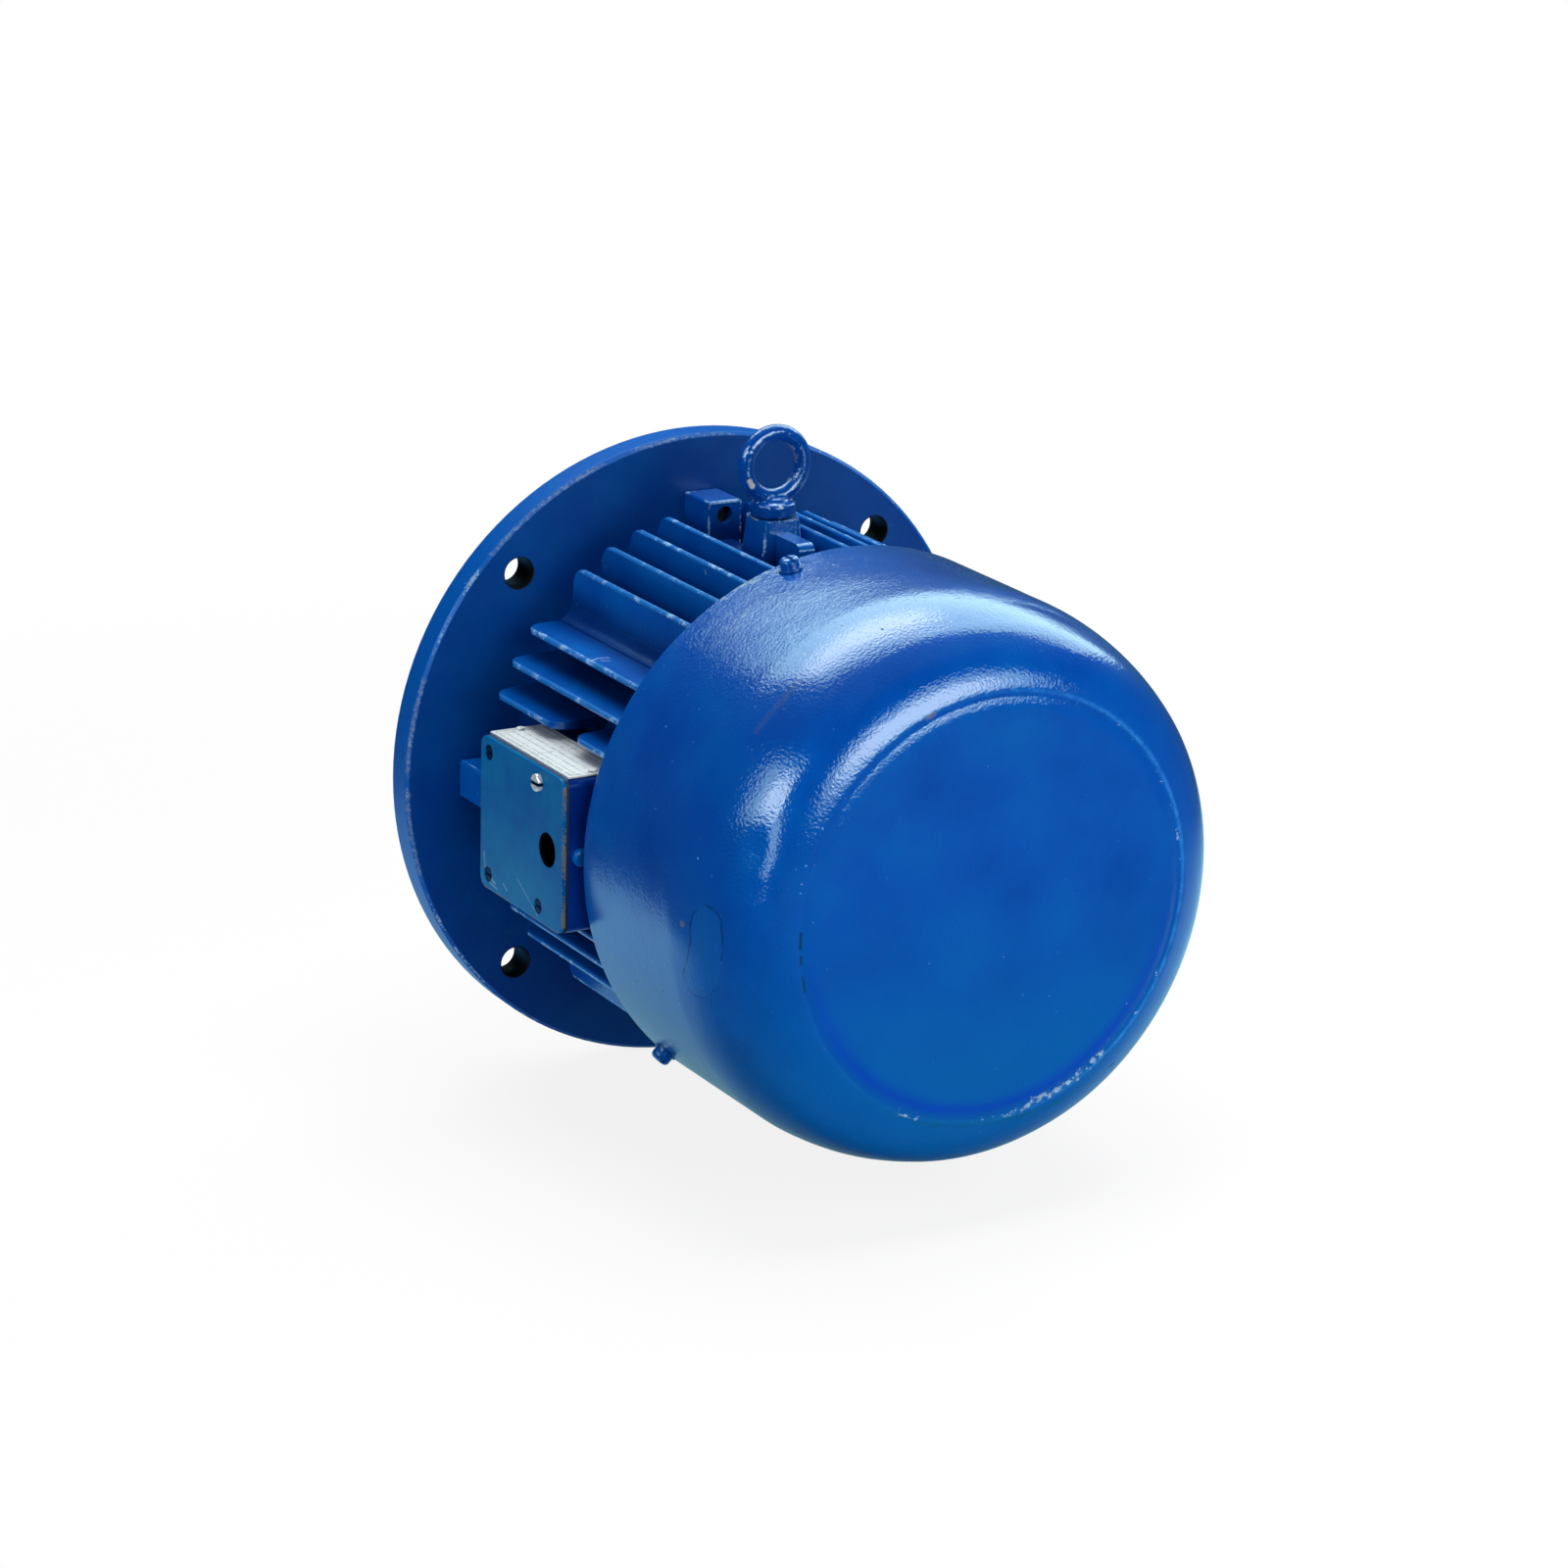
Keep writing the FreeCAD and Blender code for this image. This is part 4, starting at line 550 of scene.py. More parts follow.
hoodLook = dict(rough=0.08, peel=1.25, peelDepth=0.13, swell=9.0, swellDepth=0.12)
hoodCoats = [
    # painted reflected light: the hood turns lighter and greener towards the bottom, as if lit from the floor below
    paintedShadingCoat(heightOf, "#00589A", clear=30.0, full=-110.0, most=0.75),
    lowerBandShade, grooveLipGlint, grooveStain, runFill, runEdge,
    strokeCoat(marksOn("scuffs"), "#4A5A6A", grain=2.2, rag=2.4, soft=1.4, most=0.34, rough=0.45),
    strokeCoat(marksOn("rusts"), "#6E665C", grain=1.4, rag=0.9, soft=0.6, most=0.6, rough=0.5),
    chipCoat(fieldZone("chipZone"), grain=0.55, drift=3.5, level=1.40, gain=0.36),
    chipCoat(fieldZone("gritZone"), grain=0.65, drift=4.0, level=1.40, gain=0.34),
    strokeCoat(marksOn("cracks"), "#06303A", grain=1.2, rag=0.6, soft=0.3, most=0.85, rough=0.6, step=-0.08),
    strokeCoat(marksOn("dashes"), "#0C2F5C", grain=1.0, rag=0.5, soft=0.3, most=0.7, rough=0.5, step=-0.05),
    strokeCoat(marksOn("pinholes"), "#05183A", grain=0.8, rag=0.25, soft=0.15, most=0.9, rough=0.6, step=-0.08),
    strokeCoat(marksOn("specks"), "#6FA8E0", grain=0.8, rag=0.25, soft=0.15, most=0.8, step=0.05)]
hoodSkin = makeHood()
paint(hoodSkin, paintEnamel("hoodEnamel", hoodLook, hoodCoats, [brushStreaks]))
print("rear hood spun:", len(hoodSkin.data.polygons), "faces")


# Castings keep their exact solids, with every hard edge rounded as thick paint rounds it
softEdges = dict(
    flange_end_shield=0.9, motor_housing=0.8, terminal_box=0.9, terminal_cover=0.3, hood_screws=0.3,
    terminal_cover_screws=0.15, earth_screw=0.4, nameplate=0.12, nameplate_pins=0.2, rotor_shaft=0.25,
    shaft_key=0.4, flange_bolts=0.3, cover_gasket=0.2, box_seat_gasket=0.2)
rounding = dict(weld=0.004, flatAngle=0.6, sharpAngle=28.0, segments=3, weight=60)


def addWeld(piece):
    piece.modifiers.new("weld", "WELD").merge_threshold = rounding["weld"] * mm


def roundEdges(name, width):
    piece = nodes[name]
    addWeld(piece)
    flat = piece.modifiers.new("flat", "DECIMATE")
    flat.decimate_type = "DISSOLVE"
    flat.angle_limit = math.radians(rounding["flatAngle"])
    bevel = piece.modifiers.new("round", "BEVEL")
    bevel.width = width * mm
    bevel.segments = rounding["segments"]
    bevel.limit_method = "ANGLE"
    bevel.angle_limit = math.radians(rounding["sharpAngle"])
    piece.modifiers.new("normals", "WEIGHTED_NORMAL").weight = rounding["weight"]


for nodeName, edgeWidth in softEdges.items():
    roundEdges(nodeName, edgeWidth)
print("edges rounded:", len(softEdges), "castings and fittings")


# Flange: the casting's rear stays under paint, its mating face and bolt holes are bare
flange = dict(radius=150.0, rear=-16.0, wear=2.4, bare=(-0.9, -0.3), holeAt=93.69, holeWall=(7.95, 7.55),
              stain=12.0, toolRings=1.8, ringShare=0.6, ringRough=(0.3, 0.48), scrapeSteps=5,
              scrapes=[(161.0, 178.0, 1.0), (181.0, 197.0, 0.9), (110.0, 136.0, 0.8), (84.0, 104.0, 0.7)])
castLook = dict(rough=0.10, peel=1.6, peelDepth=0.10, swell=7.0, swellDepth=0.15,
                deep="#003488", blue="#003E8E", lift="#004896")


def flangeEdge(tree, place):
    # knocked rim, where the rear face meets the turned edge
    radius, parts = radiusOf(tree, place)
    rim = calc(tree, "SUBTRACT", flange["radius"], radius)
    rear = calc(tree, "SUBTRACT", parts[1], flange["rear"])
    return edgeBand(tree, [rim, rear], flange["wear"])


def rimStrokes():
    # scrapes round the rim's rear edge, each a chain of short straight strokes
    strokes = []
    for start, end, half in flange["scrapes"]:
        angles = np.radians(np.linspace(start, end, flange["scrapeSteps"]))
        ring = [(flange["radius"] * math.cos(a), flange["rear"], flange["radius"] * math.sin(a)) for a in angles]
        strokes += [(here, there, half) for here, there in zip(ring[:-1], ring[1:])]
    return strokes


def flangeTurned(tree, place):
    # machined mating face and spigot: grey iron with fine tool rings
    radius, parts = radiusOf(tree, place)
    stain = noiseOf(tree, place, flange["stain"], 5.0)
    rings = noiseOf(tree, addNode(tree, "CombineXYZ", {0: radius}), flange["toolRings"], 3.0)
    worn = slide(tree, mixValue(tree, flange["ringShare"], stain, rings), *noiseSpan)
    tone = mixTone(tree, worn, hexColour("#8D847C"), hexColour("#C8BEB5"))
    shine = slide(tree, rings, *noiseSpan, *flange["ringRough"])
    return dict(where=slide(tree, parts[1], *flange["bare"]), tone=tone, rough=shine, metal=0.6)


def flangeHoles(tree, place):
    # drilled walls, dark with old grease; four holes fold onto one
    parts = splitOf(tree, place)
    hole = addNode(tree, "CombineXYZ", {0: calc(tree, "ABSOLUTE", parts[0]), 2: calc(tree, "ABSOLUTE", parts[2])})
    gap = measure(tree, "DISTANCE", hole, (flange["holeAt"], 0.0, flange["holeAt"]))
    return dict(where=slide(tree, gap, *flange["holeWall"]), tone=hexColour("#1B1A1C"), rough=0.5, metal=0.6)


flangeLook = dict(castLook, wet=0.25, sheen=0.08, rough=0.28)
paint(nodes["flange_end_shield"], paintEnamel("flangeEnamel", flangeLook, [
    # painted light: the turned rim turns lighter all round, for the light its outer face catches
    paintedShadingCoat(shaftRadius, "#0056B0", clear=147.6, full=149.4, most=0.85),
    chipCoat(flangeEdge, grain=1.2, drift=18.0, level=1.42, gain=0.34, tone="#A4C8E8", under="#46709C"),
    strokeCoat(rimStrokes(), "#8295A8", grain=1.5, rag=2.4, soft=0.9, most=0.75, rough=0.5),
    flangeTurned, flangeHoles]))


# Housing: fins, lugs and boss of one casting; painted shade darkens the valleys, the tips are rubbed and carry a
# painted highlight
fins = dict(
    tipFrom=(120.9, 121.9), tipTo=(122.6, 122.3), aside=11.5, lugTop=123.5, lugHalf=8.5, lugRear=-39.0,
    lugEnd=-47.0, lugWear=1.7, bossTop=126.6, bossHalf=9.7, bossAt=-83.0, bossWear=1.6,
    threads=[((-98.0, -95.4, 73.5), (-93.5, -93.2, 73.6), 0.3), ((-93.5, -93.2, 73.6), (-88.5, -94.4, 73.7), 0.25),
             ((-94.0, -97.0, 73.6), (-90.0, -99.0, 73.6), 0.2)],
    pits=[((-76.0, -81.0, 74.6), (-76.0, -81.0, 74.6), 0.8)])


def finTipWearAndGlint(tree, place):
    # the fin tips, where chips wear through and a painted highlight lies, away from the lug and the boss that stand
    # between the top fins
    radius, parts = radiusOf(tree, place)
    aside = calc(tree, "GREATER_THAN", calc(tree, "ABSOLUTE", parts[0]), fins["aside"])
    finned = calc(tree, "MAXIMUM", aside, calc(tree, "LESS_THAN", parts[2], 0.0))
    worn = calc(tree, "MULTIPLY", slide(tree, radius, *fins["tipFrom"]), slide(tree, radius, *fins["tipTo"]))
    return calc(tree, "MULTIPLY", worn, finned)


def lugEdges(tree, place):
    # worn lines along the top lug and round the top of the eye's boss
    parts = splitOf(tree, place)
    across = calc(tree, "ABSOLUTE", parts[0])
    along = offMiddle(tree, parts[1], fins["bossAt"])
    lug = [calc(tree, "SUBTRACT", fins["lugTop"], parts[2]), calc(tree, "SUBTRACT", parts[1], fins["lugRear"]),
           calc(tree, "SUBTRACT", fins["lugHalf"], across)]
    boss = [calc(tree, "SUBTRACT", fins["bossTop"], parts[2]), calc(tree, "SUBTRACT", fins["bossHalf"], across),
            calc(tree, "SUBTRACT", fins["bossHalf"], along)]
    ahead = calc(tree, "GREATER_THAN", parts[1], fins["lugEnd"])
    lug = calc(tree, "MULTIPLY", edgeBand(tree, lug, fins["lugWear"]), ahead)
    return calc(tree, "MAXIMUM", lug, edgeBand(tree, boss, fins["bossWear"]))


housingLook = dict(castLook, deep="#0044A0", blue="#0052AC", lift="#005CB4")
paint(nodes["motor_housing"], paintEnamel("housingEnamel", housingLook, [
    # painted shade: darker towards the fin roots, between the fins
    paintedShadingCoat(shaftRadius, "#001452", clear=119.5, full=107.0, most=0.85),
    # painted highlight: a lighter line along the fin tips
    paintedShadingCoat(finTipWearAndGlint, "#2478C4", clear=0.1, full=0.8, most=0.6),
    chipCoat(finTipWearAndGlint, grain=0.8, drift=7.0, level=1.40, gain=0.30, tone="#A8D2F4", under="#4C8CD0"),
    chipCoat(lugEdges, grain=1.3, drift=8.0, level=1.36, gain=0.42, under="#3F74B4"),
    strokeCoat(fins["threads"], "#BFDDF5", grain=0.8, rag=0.2, soft=0.15, most=0.9, rough=0.5),
    strokeCoat(fins["pits"], "#03102E", grain=0.9, rag=0.2, soft=0.2, most=0.9)]))


# Lifting eye: a drop forging, so the CAD solid is blended over and takes a lumpy coat
eye = dict(
    voxel=0.55, smooth=6, factor=0.5, ring=(0.0, -83.0, 150.25), rubbed=(13.5, 11.2),
    chips=[((-14.4, -86.0, 144.8), (-13.2, -86.4, 142.6), 1.3), ((-4.2, -88.6, 138.6), (0.6, -89.0, 137.6), 1.3),
           ((-8.7, -91.0, 136.0), (-8.2, -91.4, 135.2), 0.7), ((-2.4, -92.4, 134.2), (-1.6, -92.4, 133.2), 0.6),
           ((12.0, -86.0, 141.0), (13.6, -85.6, 143.6), 0.5)])
eyeLook = dict(rough=0.08, peel=1.4, peelDepth=0.12, swell=4.0, swellDepth=0.45,
               deep="#00368E", blue="#00429C", lift="#0050A6")


def forgeEye():
    piece = nodes["eyebolt"]
    addWeld(piece)
    blend = piece.modifiers.new("blend", "REMESH")
    blend.mode = "VOXEL"
    blend.voxel_size = eye["voxel"] * mm
    blend.use_smooth_shade = True
    soft = piece.modifiers.new("soft", "SMOOTH")
    soft.factor = eye["factor"]
    soft.iterations = eye["smooth"]


def eyeInner(tree, place):
    # hooks rub the inside of the ring
    return slide(tree, measure(tree, "DISTANCE", place, eye["ring"]), *eye["rubbed"])


forgeEye()
paint(nodes["eyebolt"], paintEnamel("eyeEnamel", eyeLook, [
    # painted shade: the bottom of the collar darkens where it sits on the boss
    paintedShadingCoat(heightOf, "#000A30", clear=128.6, full=127.3, most=0.9),
    chipCoat(eyeInner, grain=1.4, drift=7.0, level=1.36, gain=0.30),
    strokeCoat(eye["chips"], "#C9CDC8", grain=1.6, rag=0.7, rough=0.4, step=-0.12)]))


# Terminal box: cast walls in a darker blue that paints in the hood's shade, a duller sheet cover with scratches, a
# bare plate on top
box = dict(
    low=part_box("terminal_cover")[0] / mm, high=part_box("terminal_cover")[1] / mm, edgeWear=1.0, sheet=(0.6, 0.3),
    zincScrew=(-135.8, -118.0, 28.6), zincReach=(6.5, 6.2), slotHalf=(1.0, 0.7),
    hole=(-134.6, -126.6, 0.0), holeWall=(8.0, 7.7),
    scratches=[((-134.6, -98.1, -22.1), (-134.6, -118.5, -33.2), 0.18),
               ((-134.6, -70.9, -29.4), (-134.6, -76.0, -31.0), 0.5),
               ((-134.6, -84.0, -28.5), (-134.6, -88.0, -30.6), 0.3),
               ((-134.6, -64.5, -19.0), (-134.6, -66.0, -26.0), 0.4),
               ((-134.6, -68.0, -31.5), (-134.6, -78.0, -33.0), 0.35)])
# painted shade: the walls' blue is set darker than the other castings' for the shadow the hood casts on the box
boxShadedLook = dict(rough=0.10, peel=1.3, peelDepth=0.05, swell=5.0, swellDepth=0.2,
               deep="#001C66", blue="#002478", lift="#00308A")
coverLook = dict(wet=0.14, sheen=0.06, rough=0.14, peel=1.2, peelDepth=0.06, swell=8.0, swellDepth=0.10,
                 mottle=30.0, deep="#00509A", blue="#0060A0", lift="#006AA2")
screwLook = dict(rough=0.08, peel=1.2, peelDepth=0.10, swell=2.6, swellDepth=0.4,
                 deep="#003C90", blue="#004A9E", lift="#0058AC")
coverScrewLook = dict(screwLook, wet=0.12, sheen=0.03, deep="#000A2C", blue="#001038", lift="#001648")


def coverEdge(tree, place):
    # bare sheet edges: along the bottom and the front, and the rear one over the sheet's own thickness
    parts = splitOf(tree, place)
    rear, face, bottom = (calc(tree, "SUBTRACT", parts[axis], box["low"][axis]) for axis in (1, 0, 2))
    front = calc(tree, "SUBTRACT", box["high"].y, parts[1])
    edge = edgeBand(tree, [face, calc(tree, "MINIMUM", bottom, front)], box["edgeWear"])
    return calc(tree, "MAXIMUM", edge, slide(tree, rear, *box["sheet"]))


def cableHole(tree, place):
    # no light comes back out of the open cable entry
    away = lessVector(tree, place, box["hole"])
    across = addNode(tree, "VectorMath", {0: away, 1: (0.0, 1.0, 1.0)}, operation="MULTIPLY")
    where = slide(tree, measure(tree, "LENGTH", across), *box["holeWall"])
    return dict(where=where, tone=hexColour("#030407"), rough=0.9)


def zincHead(tree, place):
    # the one replaced screw: bright zinc among painted ones
    where = slide(tree, measure(tree, "DISTANCE", place, box["zincScrew"]), *box["zincReach"])
    return dict(where=where, tone=hexColour("#EEF1F2"), rough=0.18, metal=0.6)


def zincSlot(tree, place):
    # the driver slot holds shadow and old paint
    where = slide(tree, offMiddle(tree, heightOf(tree, place), box["zincScrew"][2]), *box["slotHalf"])
    return dict(where=where, tone=hexColour("#0A1B40"), rough=0.5)


paint(nodes["terminal_box"], paintEnamel("boxShadedEnamel", boxShadedLook, [cableHole]))
paint(nodes["terminal_cover"], paintEnamel("coverEnamel", coverLook, [
    chipCoat(coverEdge, grain=1.1, drift=14.0, level=1.50, gain=0.55, tone="#7C8086", under="#4C5660"), cableHole,
    strokeCoat(box["scratches"], "#8DB4D2", grain=1.2, rag=0.7, soft=0.3, most=0.6, rough=0.5)]))
screwEnamel = paintEnamel("screwEnamel", screwLook)
paint(nodes["hood_screws"], screwEnamel)
paint(nodes["earth_screw"], screwEnamel)
paint(nodes["terminal_cover_screws"], paintEnamel("coverScrewEnamel", coverScrewLook, [zincHead, zincSlot]))


# Bare metals and fittings
def plainMetal(name, dark, light, rough, grain, stretch=(1.0, 1.0, 1.0), metal=1.0, depth=0.01, swing=0.08):
    # turned, plated or rolled metal: two close tones along its grain, and roughness that follows it
    material, tree, place = newMaterial(name)
    noise = noiseOf(tree, addNode(tree, "Mapping", {0: place, "Scale": stretch}), grain, 4.0)
    tone = mixTone(tree, noise, hexColour(dark), hexColour(light))
    shine = slide(tree, noise, *noiseSpan, rough - swing, rough + swing)
    bump = addNode(tree, "Bump", {"Height": calc(tree, "MULTIPLY", noise, depth), "Distance": mm})
    finishMaterial(tree, {"Base Color": tone, "Metallic": metal, "Roughness": shine, "Normal": bump})
    return material


# Name plate: pale anodised sheet with an etched double border and ruled lines, and no lettering
plate = dict(low=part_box("nameplate")[0] / mm, high=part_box("nameplate")[1] / mm, border=1.6, gap=1.0, margin=2.2,
             rule=2.1, column=17.0, line=0.45, inkGrain=3.0, inkSpan=(0.35, 0.62), inkShare=(0.1, 0.8),
             brushed=1.4, stretch=(1.0, 0.35, 1.0), metal=0.1, rough=0.5)


def plateMaterial():
    material, tree, place = newMaterial("etchedAluminium")
    parts = splitOf(tree, place)
    gaps = []
    for axis in (0, 1):
        middle = (plate["low"][axis] + plate["high"][axis]) / 2
        half = (plate["high"][axis] - plate["low"][axis]) / 2
        gaps.append(calc(tree, "SUBTRACT", half, offMiddle(tree, parts[axis], middle)))
    edge = calc(tree, "MINIMUM", *gaps)
    border = [offMiddle(tree, edge, depth) for depth in (plate["border"], plate["border"] + plate["gap"])]
    rules = [calc(tree, "PINGPONG", parts[0], plate["rule"]), calc(tree, "PINGPONG", parts[1], plate["column"])]
    outside = calc(tree, "LESS_THAN", edge, plate["border"] + plate["margin"] * plate["gap"])
    rules = calc(tree, "MULTIPLY_ADD", outside, 9.0, calc(tree, "MINIMUM", *rules))  # no rules in the margin
    etched = calc(tree, "MINIMUM", calc(tree, "MINIMUM", *border), rules)
    worn = slide(tree, noiseOf(tree, place, plate["inkGrain"], 4.0), *plate["inkSpan"], *plate["inkShare"])
    ink = slide(tree, etched, plate["line"], plate["line"] / 2, most=worn)
    drawn = addNode(tree, "Mapping", {0: place, "Scale": plate["stretch"]})
    grain = noiseOf(tree, drawn, plate["brushed"], 5.0, 0.7)
    tone = mixTone(tree, grain, hexColour("#A6AFB1"), hexColour("#FBFDFD"))
    tone = mixTone(tree, ink, tone, hexColour("#5E6E74"))
    finishMaterial(tree, {"Base Color": tone, "Metallic": plate["metal"], "Roughness": plate["rough"]})
    return material


# each slot's material: dark tone, light tone, roughness, grain, then what differs
fittings = {
    "turned_steel": plainMetal("groundSteel", "#9C9690", "#D6D0CA", 0.28, 1.2, (0.03, 4.0, 0.03), metal=0.7),
    "bearing_steel": plainMetal("polishedSteel", "#B4B5B7", "#DADBDC", 0.14, 4.0),
    "plated_steel": plainMetal("zincPlate", "#A9ABAC", "#D7D9DA", 0.24, 1.5),
    "black_steel": plainMetal("blackedSteel", "#17181A", "#2B2C2E", 0.38, 1.5),
    "lamination_steel": plainMetal("sheetStack", "#4A4C50", "#6D6F73", 0.4, 0.7, (0.1, 8.0, 0.1)),
    "cast_iron": plainMetal("greyIron", "#3A3B3D", "#5B5C5E", 0.5, 2.0, depth=0.08),
    "copper_winding": plainMetal("varnishedCopper", "#6A2F14", "#A2542A", 0.3, 0.9, (1.0, 1.0, 5.0)),
    "cast_aluminium": plainMetal("castAluminium", "#9FA1A3", "#C6C8CA", 0.4, 2.0),
    "plate_aluminium": plateMaterial(),
    "brass": plainMetal("turnedBrass", "#A67B35", "#D2A85A", 0.25, 1.2),
    "black_rubber": plainMetal("blackRubber", "#0E0E0F", "#1C1C1D", 0.6, 1.5, metal=0.0, depth=0.03),
    "moulded_plastic": plainMetal("brownPhenolic", "#5A351D", "#6E4426", 0.4, 3.0, metal=0.0),
    "friction_lining": plainMetal("brakeLining", "#2C2925", "#4A443B", 0.7, 1.0, metal=0.0, depth=0.1)}
handPainted = {"terminal_cover_screws"}
for part in frame["record"]["subparts"]:
    if part["material_slot"] in fittings and part["node"] not in handPainted:
        paint(nodes[part["node"]], fittings[part["material_slot"]])


# Brake springs: the wire's centre climbs a helix round each spring's own axis, closed by one flat turn at either
# end, and a circle of the wire's radius is swept along it.
coil = dict(count=6, circle=37.0, radius=3.3, wire=1.3, turns=6.5, steps=36, section=12)


def makeSprings():
    low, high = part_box("brake_springs")
    foot, top = low.y / mm, high.y / mm
    count, wire, turns, section = coil["count"], coil["wire"], coil["turns"], coil["section"]
    turn = np.linspace(0, turns, int(turns * coil["steps"]) + 1)
    levels = [foot + wire / 2, foot + 1.5 * wire, top - 1.5 * wire, top - wire / 2]
    climb = np.interp(turn, [0, 1, turns - 1, turns], levels)
    places = np.radians(360 / count * (np.arange(count) + 0.5))
    k, i, j = np.meshgrid(np.arange(count), np.arange(len(turn)), np.arange(section), indexing="ij")
    wound, cut = 2 * math.pi * turn[i], 2 * math.pi * j / section
    reach = coil["radius"] + wire / 2 * np.cos(cut)
    points = np.stack([coil["circle"] * np.cos(places[k]) + reach * np.cos(wound),
                       climb[i] + wire / 2 * np.sin(cut),
                       coil["circle"] * np.sin(places[k]) + reach * np.sin(wound)], -1)
    ends = points[:, [0, -1]].mean(axis=2).reshape(-1, 3)
    index = np.arange(k.size).reshape(k.shape)
    ahead = np.roll(index, -1, axis=2)
    quads = np.stack([index[:, :-1], ahead[:, :-1], ahead[:, 1:], index[:, 1:]], -1).reshape(-1, 4)
    poles = k.size + np.arange(2 * count).reshape(-1, 2, 1) + np.zeros((1, 1, section), int)
    first = np.stack([poles[:, 0], ahead[:, 0], index[:, 0]], -1).reshape(-1, 3)
    last = np.stack([poles[:, 1], index[:, -1], ahead[:, -1]], -1).reshape(-1, 3)
    points = np.concatenate([points.reshape(-1, 3), ends]) * mm
    mesh = meshFrom("brakeSpringCoils", points, quads, np.concatenate([first, last]))
    piece = linkPiece("brakeSpringCoils", mesh)
    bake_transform(piece)
    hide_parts("brake_springs")
    return piece


paint(makeSprings(), fittings["turned_steel"])
print("materials made:", len(bpy.data.materials))


# Stage: a wide pale floor under the flange, softboxes behind, in front and at the left.
# Floor size, lamps and aim are in metres, the rest in millimetres.
stage = dict(
    floorSize=40.0, floorDrop=0.4, paper="#F6F6F6", bounceTone="#FAFAFA", shadowLight=0.86,
    shadowReach=(450.0, 950.0), sheetEdge=(-350.0, -320.0), sheetLine=(0.45, 0.89, 213.6), sheetSoft=(-30.0, 60.0),
    sheetMiddle=(0.0, -150.0, 0.0), sheetNear=(140.0, 360.0, 0.25), sheetFar=(900.0, 500.0, 0.1),
    sheetTone=(0.42, 0.86, 1.08, 1.0), white=(1.0, 1.0, 1.0, 1.0), roomLight=0.012, wallShine=0.02,
    wallTop=(12.0, 20.0), aim=(0.0, -0.24, 0.06), coolTone=(0.68, 1.0, 0.95))
lamps = [  # azimuth from the hood's side towards +X, elevation, size in metres, radiance in gloss and on matt
    dict(name="backBox", azimuth=146, elevation=49, far=0.8, wide=1.45, tall=0.57, roll=22, shine=4.4, fill=1.9,
         fillFar=1.7, cool=True),
    dict(name="backCore", azimuth=176, elevation=55, far=1.68, wide=1.25, tall=0.4, shape="ELLIPSE", shine=5.0),
    dict(name="frontBox", azimuth=12, elevation=21, far=2.2, wide=2.5, tall=1.5, shape="ELLIPSE", shine=4.6,
         fill=2.4, fillFar=0.9, cool=True),
    dict(name="frontCore", azimuth=10, elevation=20, far=2.18, wide=1.6, tall=0.85, shape="ELLIPSE", shine=7.0),
    dict(name="leftBox", azimuth=-84, elevation=29, far=1.8, wide=1.45, tall=0.7, shine=4.5, fill=4.4, cool=True),
    dict(name="leftCore", azimuth=-76, elevation=28, far=1.78, wide=0.9, tall=0.44, shape="ELLIPSE", shine=7.0),
    dict(name="leftTail", azimuth=-58, elevation=13, far=1.8, wide=0.36, tall=0.85, roll=28, shine=5.0, cool=True),
    dict(name="topBox", azimuth=0, elevation=84, far=1.6, wide=1.4, tall=1.0, fill=5.0),
    dict(name="lowBox", azimuth=0, elevation=-13, far=0.75, wide=1.2, tall=0.16, fill=4.5)]


def sightOf(tree):
    # 1 for rays from the camera, and 1 for rays that a surface mirrors or lets through
    rays = tree.nodes.new("ShaderNodeLightPath").outputs
    return rays["Is Camera Ray"], calc(tree, "MAXIMUM", rays["Is Glossy Ray"], rays["Is Transmission Ray"])


def makeFloor():
    half, level = stage["floorSize"] / 2, cadBox[0].z - stage["floorDrop"] * mm
    corners = np.array([[-half, -half, level], [half, -half, level], [half, half, level], [-half, half, level]])
    floor = linkPiece("studioFloor", meshFrom("studioFloor", corners, np.array([[0, 1, 2, 3]])))
    # pale paper, white to the camera; the shadow shows near the motor, which mirrors only the lit sheet behind it
    material, tree, place = newMaterial("palePaper")
    seen, bounce = sightOf(tree)
    parts = splitOf(tree, place)
    edge = slide(tree, parts[0], *stage["sheetEdge"])
    across, along, shift = stage["sheetLine"]
    behind = calc(tree, "MULTIPLY_ADD", parts[0], across, shift)
    behind = calc(tree, "MULTIPLY_ADD", parts[1], along, behind)
    mirror = calc(tree, "MULTIPLY", edge, slide(tree, behind, *stage["sheetSoft"], smooth=True))
    aside = measure(tree, "DISTANCE", place, stage["sheetMiddle"])
    mirror = calc(tree, "MULTIPLY", mirror, slide(tree, aside, *stage["sheetNear"]))
    mirror = calc(tree, "MULTIPLY", mirror, slide(tree, aside, *stage["sheetFar"]))
    away = measure(tree, "LENGTH", place)
    share = slide(tree, away, *stage["shadowReach"], stage["shadowLight"], smooth=True)
    glow = calc(tree, "MAXIMUM", calc(tree, "MULTIPLY", seen, share), bounce)
    tone = mixTone(tree, seen, hexColour(stage["bounceTone"]), hexColour(stage["paper"]))
    hue = mixTone(tree, bounce, stage["white"], stage["sheetTone"])
    matt = addNode(tree, "BsdfDiffuse", {"Color": tone})
    lit = addNode(tree, "Emission", {"Color": hue, "Strength": mixValue(tree, bounce, 1.0, mirror)})
    both = addNode(tree, "MixShader", {0: glow, 1: matt, 2: lit})
    addNode(tree, "OutputMaterial", {"Surface": both}, out=slice(0, 0))
    paint(floor, material)


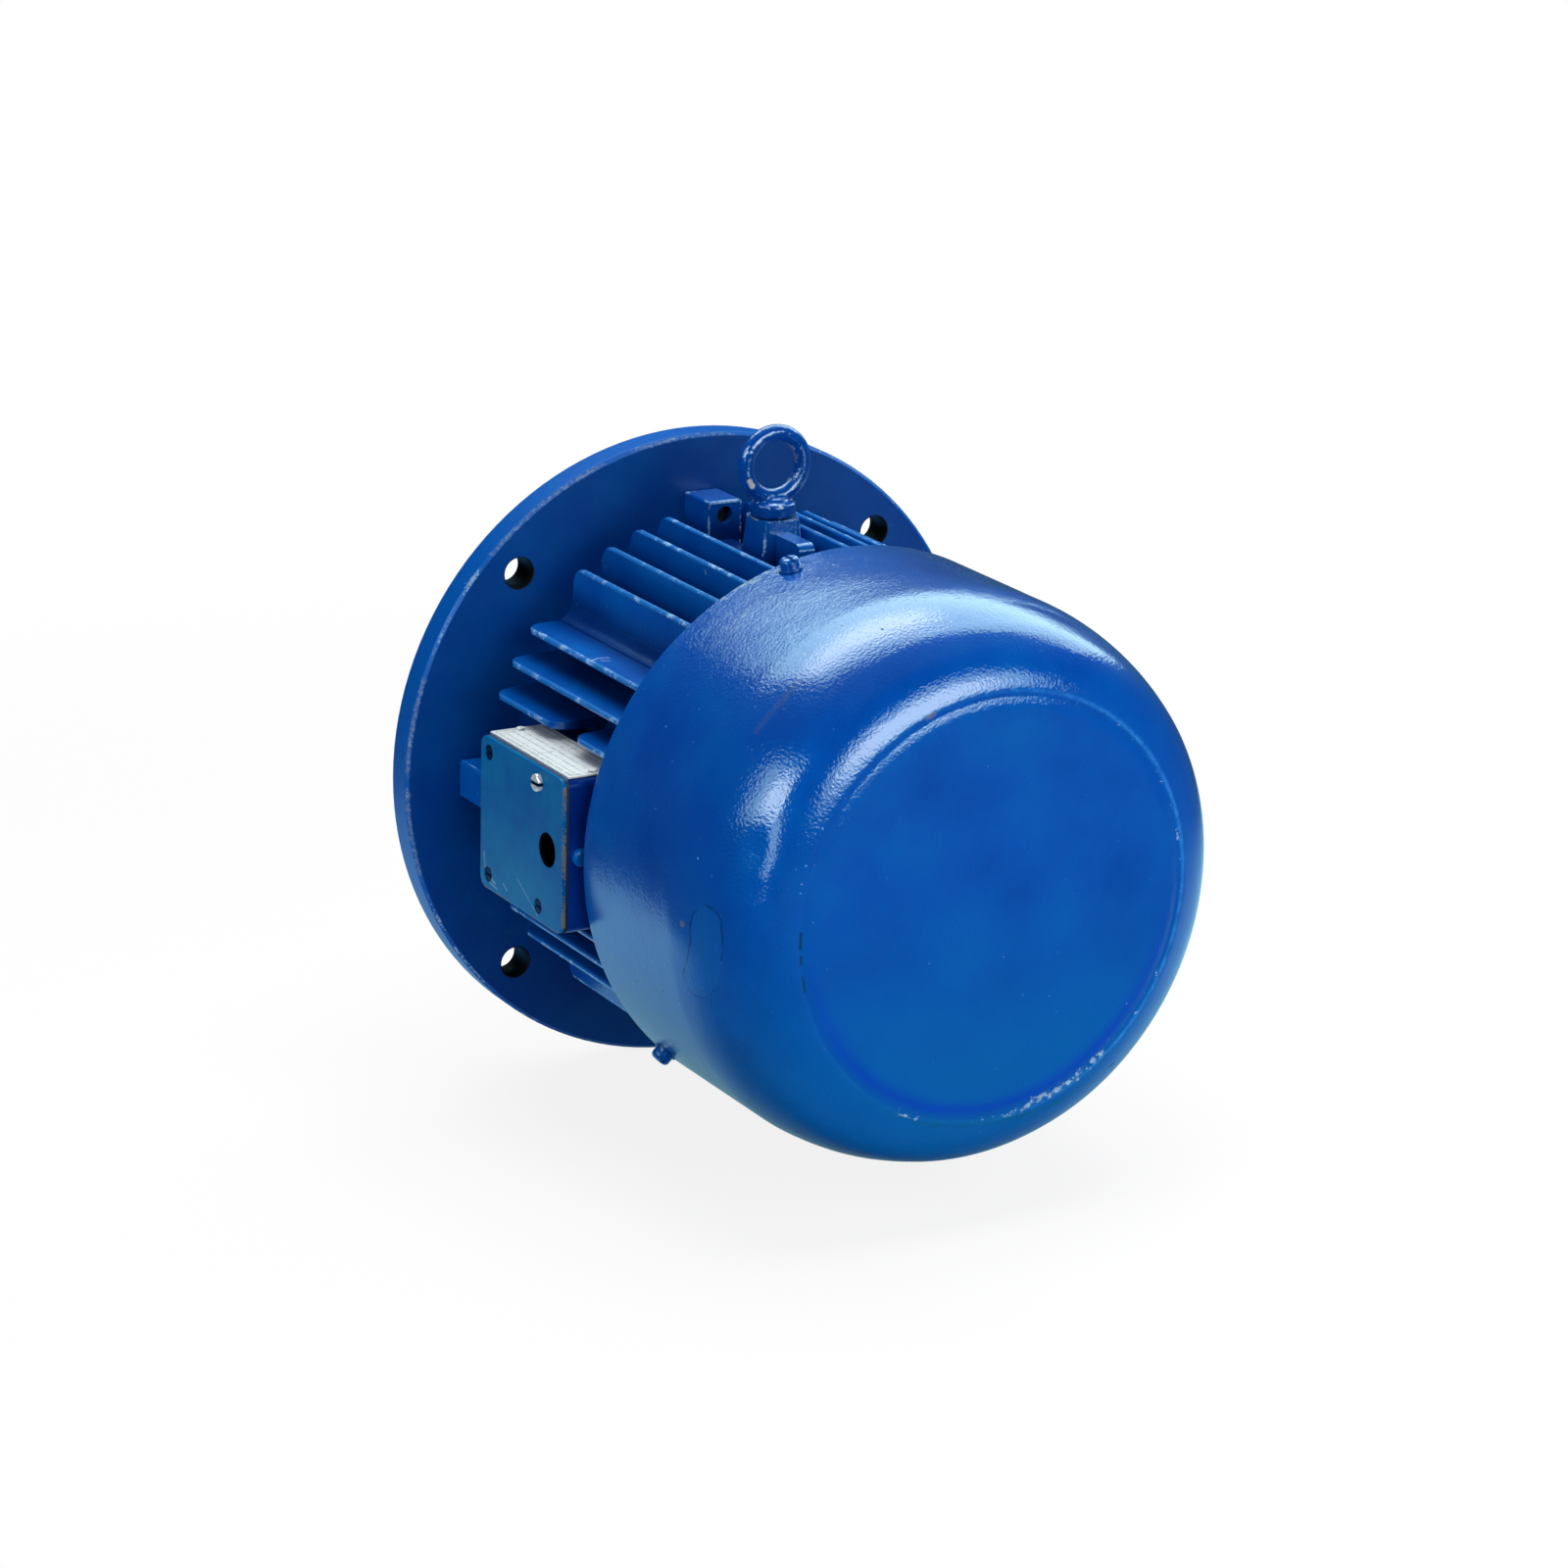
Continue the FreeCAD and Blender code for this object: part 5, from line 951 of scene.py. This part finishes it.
def makeRoom():
    # a white wall low down that fades to a dim room above
    world = bpy.data.worlds.new("studioRoom")
    bpy.context.scene.world = world
    world.use_nodes = True
    tree = world.node_tree
    tree.nodes.clear()
    rise = splitOf(tree, addNode(tree, "TexCoord", out="Generated"))[2]
    start, end = (math.sin(math.radians(angle)) for angle in stage["wallTop"])
    band = slide(tree, rise, start, end, 1.0, 0.0, smooth=True)
    seen, bounce = sightOf(tree)
    wall = calc(tree, "MAXIMUM", seen, calc(tree, "MULTIPLY", bounce, stage["wallShine"]))
    level = calc(tree, "MAXIMUM", calc(tree, "MULTIPLY", wall, band), stage["roomLight"])
    glow = addNode(tree, "Background", {"Color": stage["white"], "Strength": level})
    addNode(tree, "OutputWorld", {"Surface": glow}, out=slice(0, 0))


def viewAxis(azimuth, elevation):
    # unit vector from the motor towards a lamp or the camera, angles in radians
    level = math.cos(elevation)
    return Vector((math.sin(azimuth) * level, -math.cos(azimuth) * level, math.sin(elevation)))


def makeLamp(lamp, use):
    # one area lamp seen only in gloss (shine) or only on matt surfaces (fill)
    toward = viewAxis(math.radians(lamp["azimuth"]), math.radians(lamp["elevation"]))
    face = toward.to_track_quat("Z", "Y").to_matrix().to_4x4()
    face = face @ Matrix.Rotation(math.radians(lamp.get("roll", 0)), 4, "Z")
    far = lamp.get("fillFar", lamp["far"]) if use == "fill" else lamp["far"]
    share = far / lamp["far"]  # a fill lamp set nearer or farther keeps its angular size
    light = bpy.data.lights.new(lamp["name"] + "." + use, "AREA")
    light.shape = lamp.get("shape", "RECTANGLE")
    light.size, light.size_y = lamp["wide"] * share, lamp["tall"] * share
    area = light.size * light.size_y * (math.pi / 4 if light.shape == "ELLIPSE" else 1.0)
    light.energy = lamp[use] * area * math.pi
    if use == "shine" and "cool" in lamp:
        light.color = stage["coolTone"]  # the cloth of a softbox, cooler than its lit middle
    softbox = linkPiece(light.name, light)
    softbox.matrix_world = Matrix.Translation(Vector(stage["aim"]) + toward * far) @ face
    softbox.visible_camera = False
    softbox.visible_diffuse = use == "fill"
    softbox.visible_glossy = use == "shine"


# Camera: the photograph's own viewpoint
lens = dict(azimuth=-30.11, elevation=17.41, roll=1.53, focal=112.5, shift=(49.26, -22.66), far=2312.39, clip=100.0)


def makeCamera():
    a, e, r = (math.radians(lens[key]) for key in ("azimuth", "elevation", "roll"))
    back = viewAxis(a, e)
    right = Vector((math.cos(a), math.sin(a), 0))
    up = back.cross(right)
    across = right * math.cos(r) + up * math.sin(r)
    upright = up * math.cos(r) - right * math.sin(r)
    spot = (across * lens["shift"][0] + upright * lens["shift"][1] + back * lens["far"]) * mm
    data = bpy.data.cameras.new("photoCamera")
    data.lens = lens["focal"]
    data.sensor_fit = "HORIZONTAL"
    data.clip_end = lens["clip"]
    camera = linkPiece("photoCamera", data)
    turn = Matrix((across, upright, back)).transposed().to_4x4()
    camera.matrix_world = Matrix.Translation(spot) @ turn
    bpy.context.scene.camera = camera


bpy.context.scene.view_settings.view_transform = "Standard"
makeFloor()
makeRoom()
for lampRow in lamps:
    for lampUse in ("shine", "fill"):
        if lampUse in lampRow:
            makeLamp(lampRow, lampUse)
makeCamera()
print("stage, lamps and camera set")
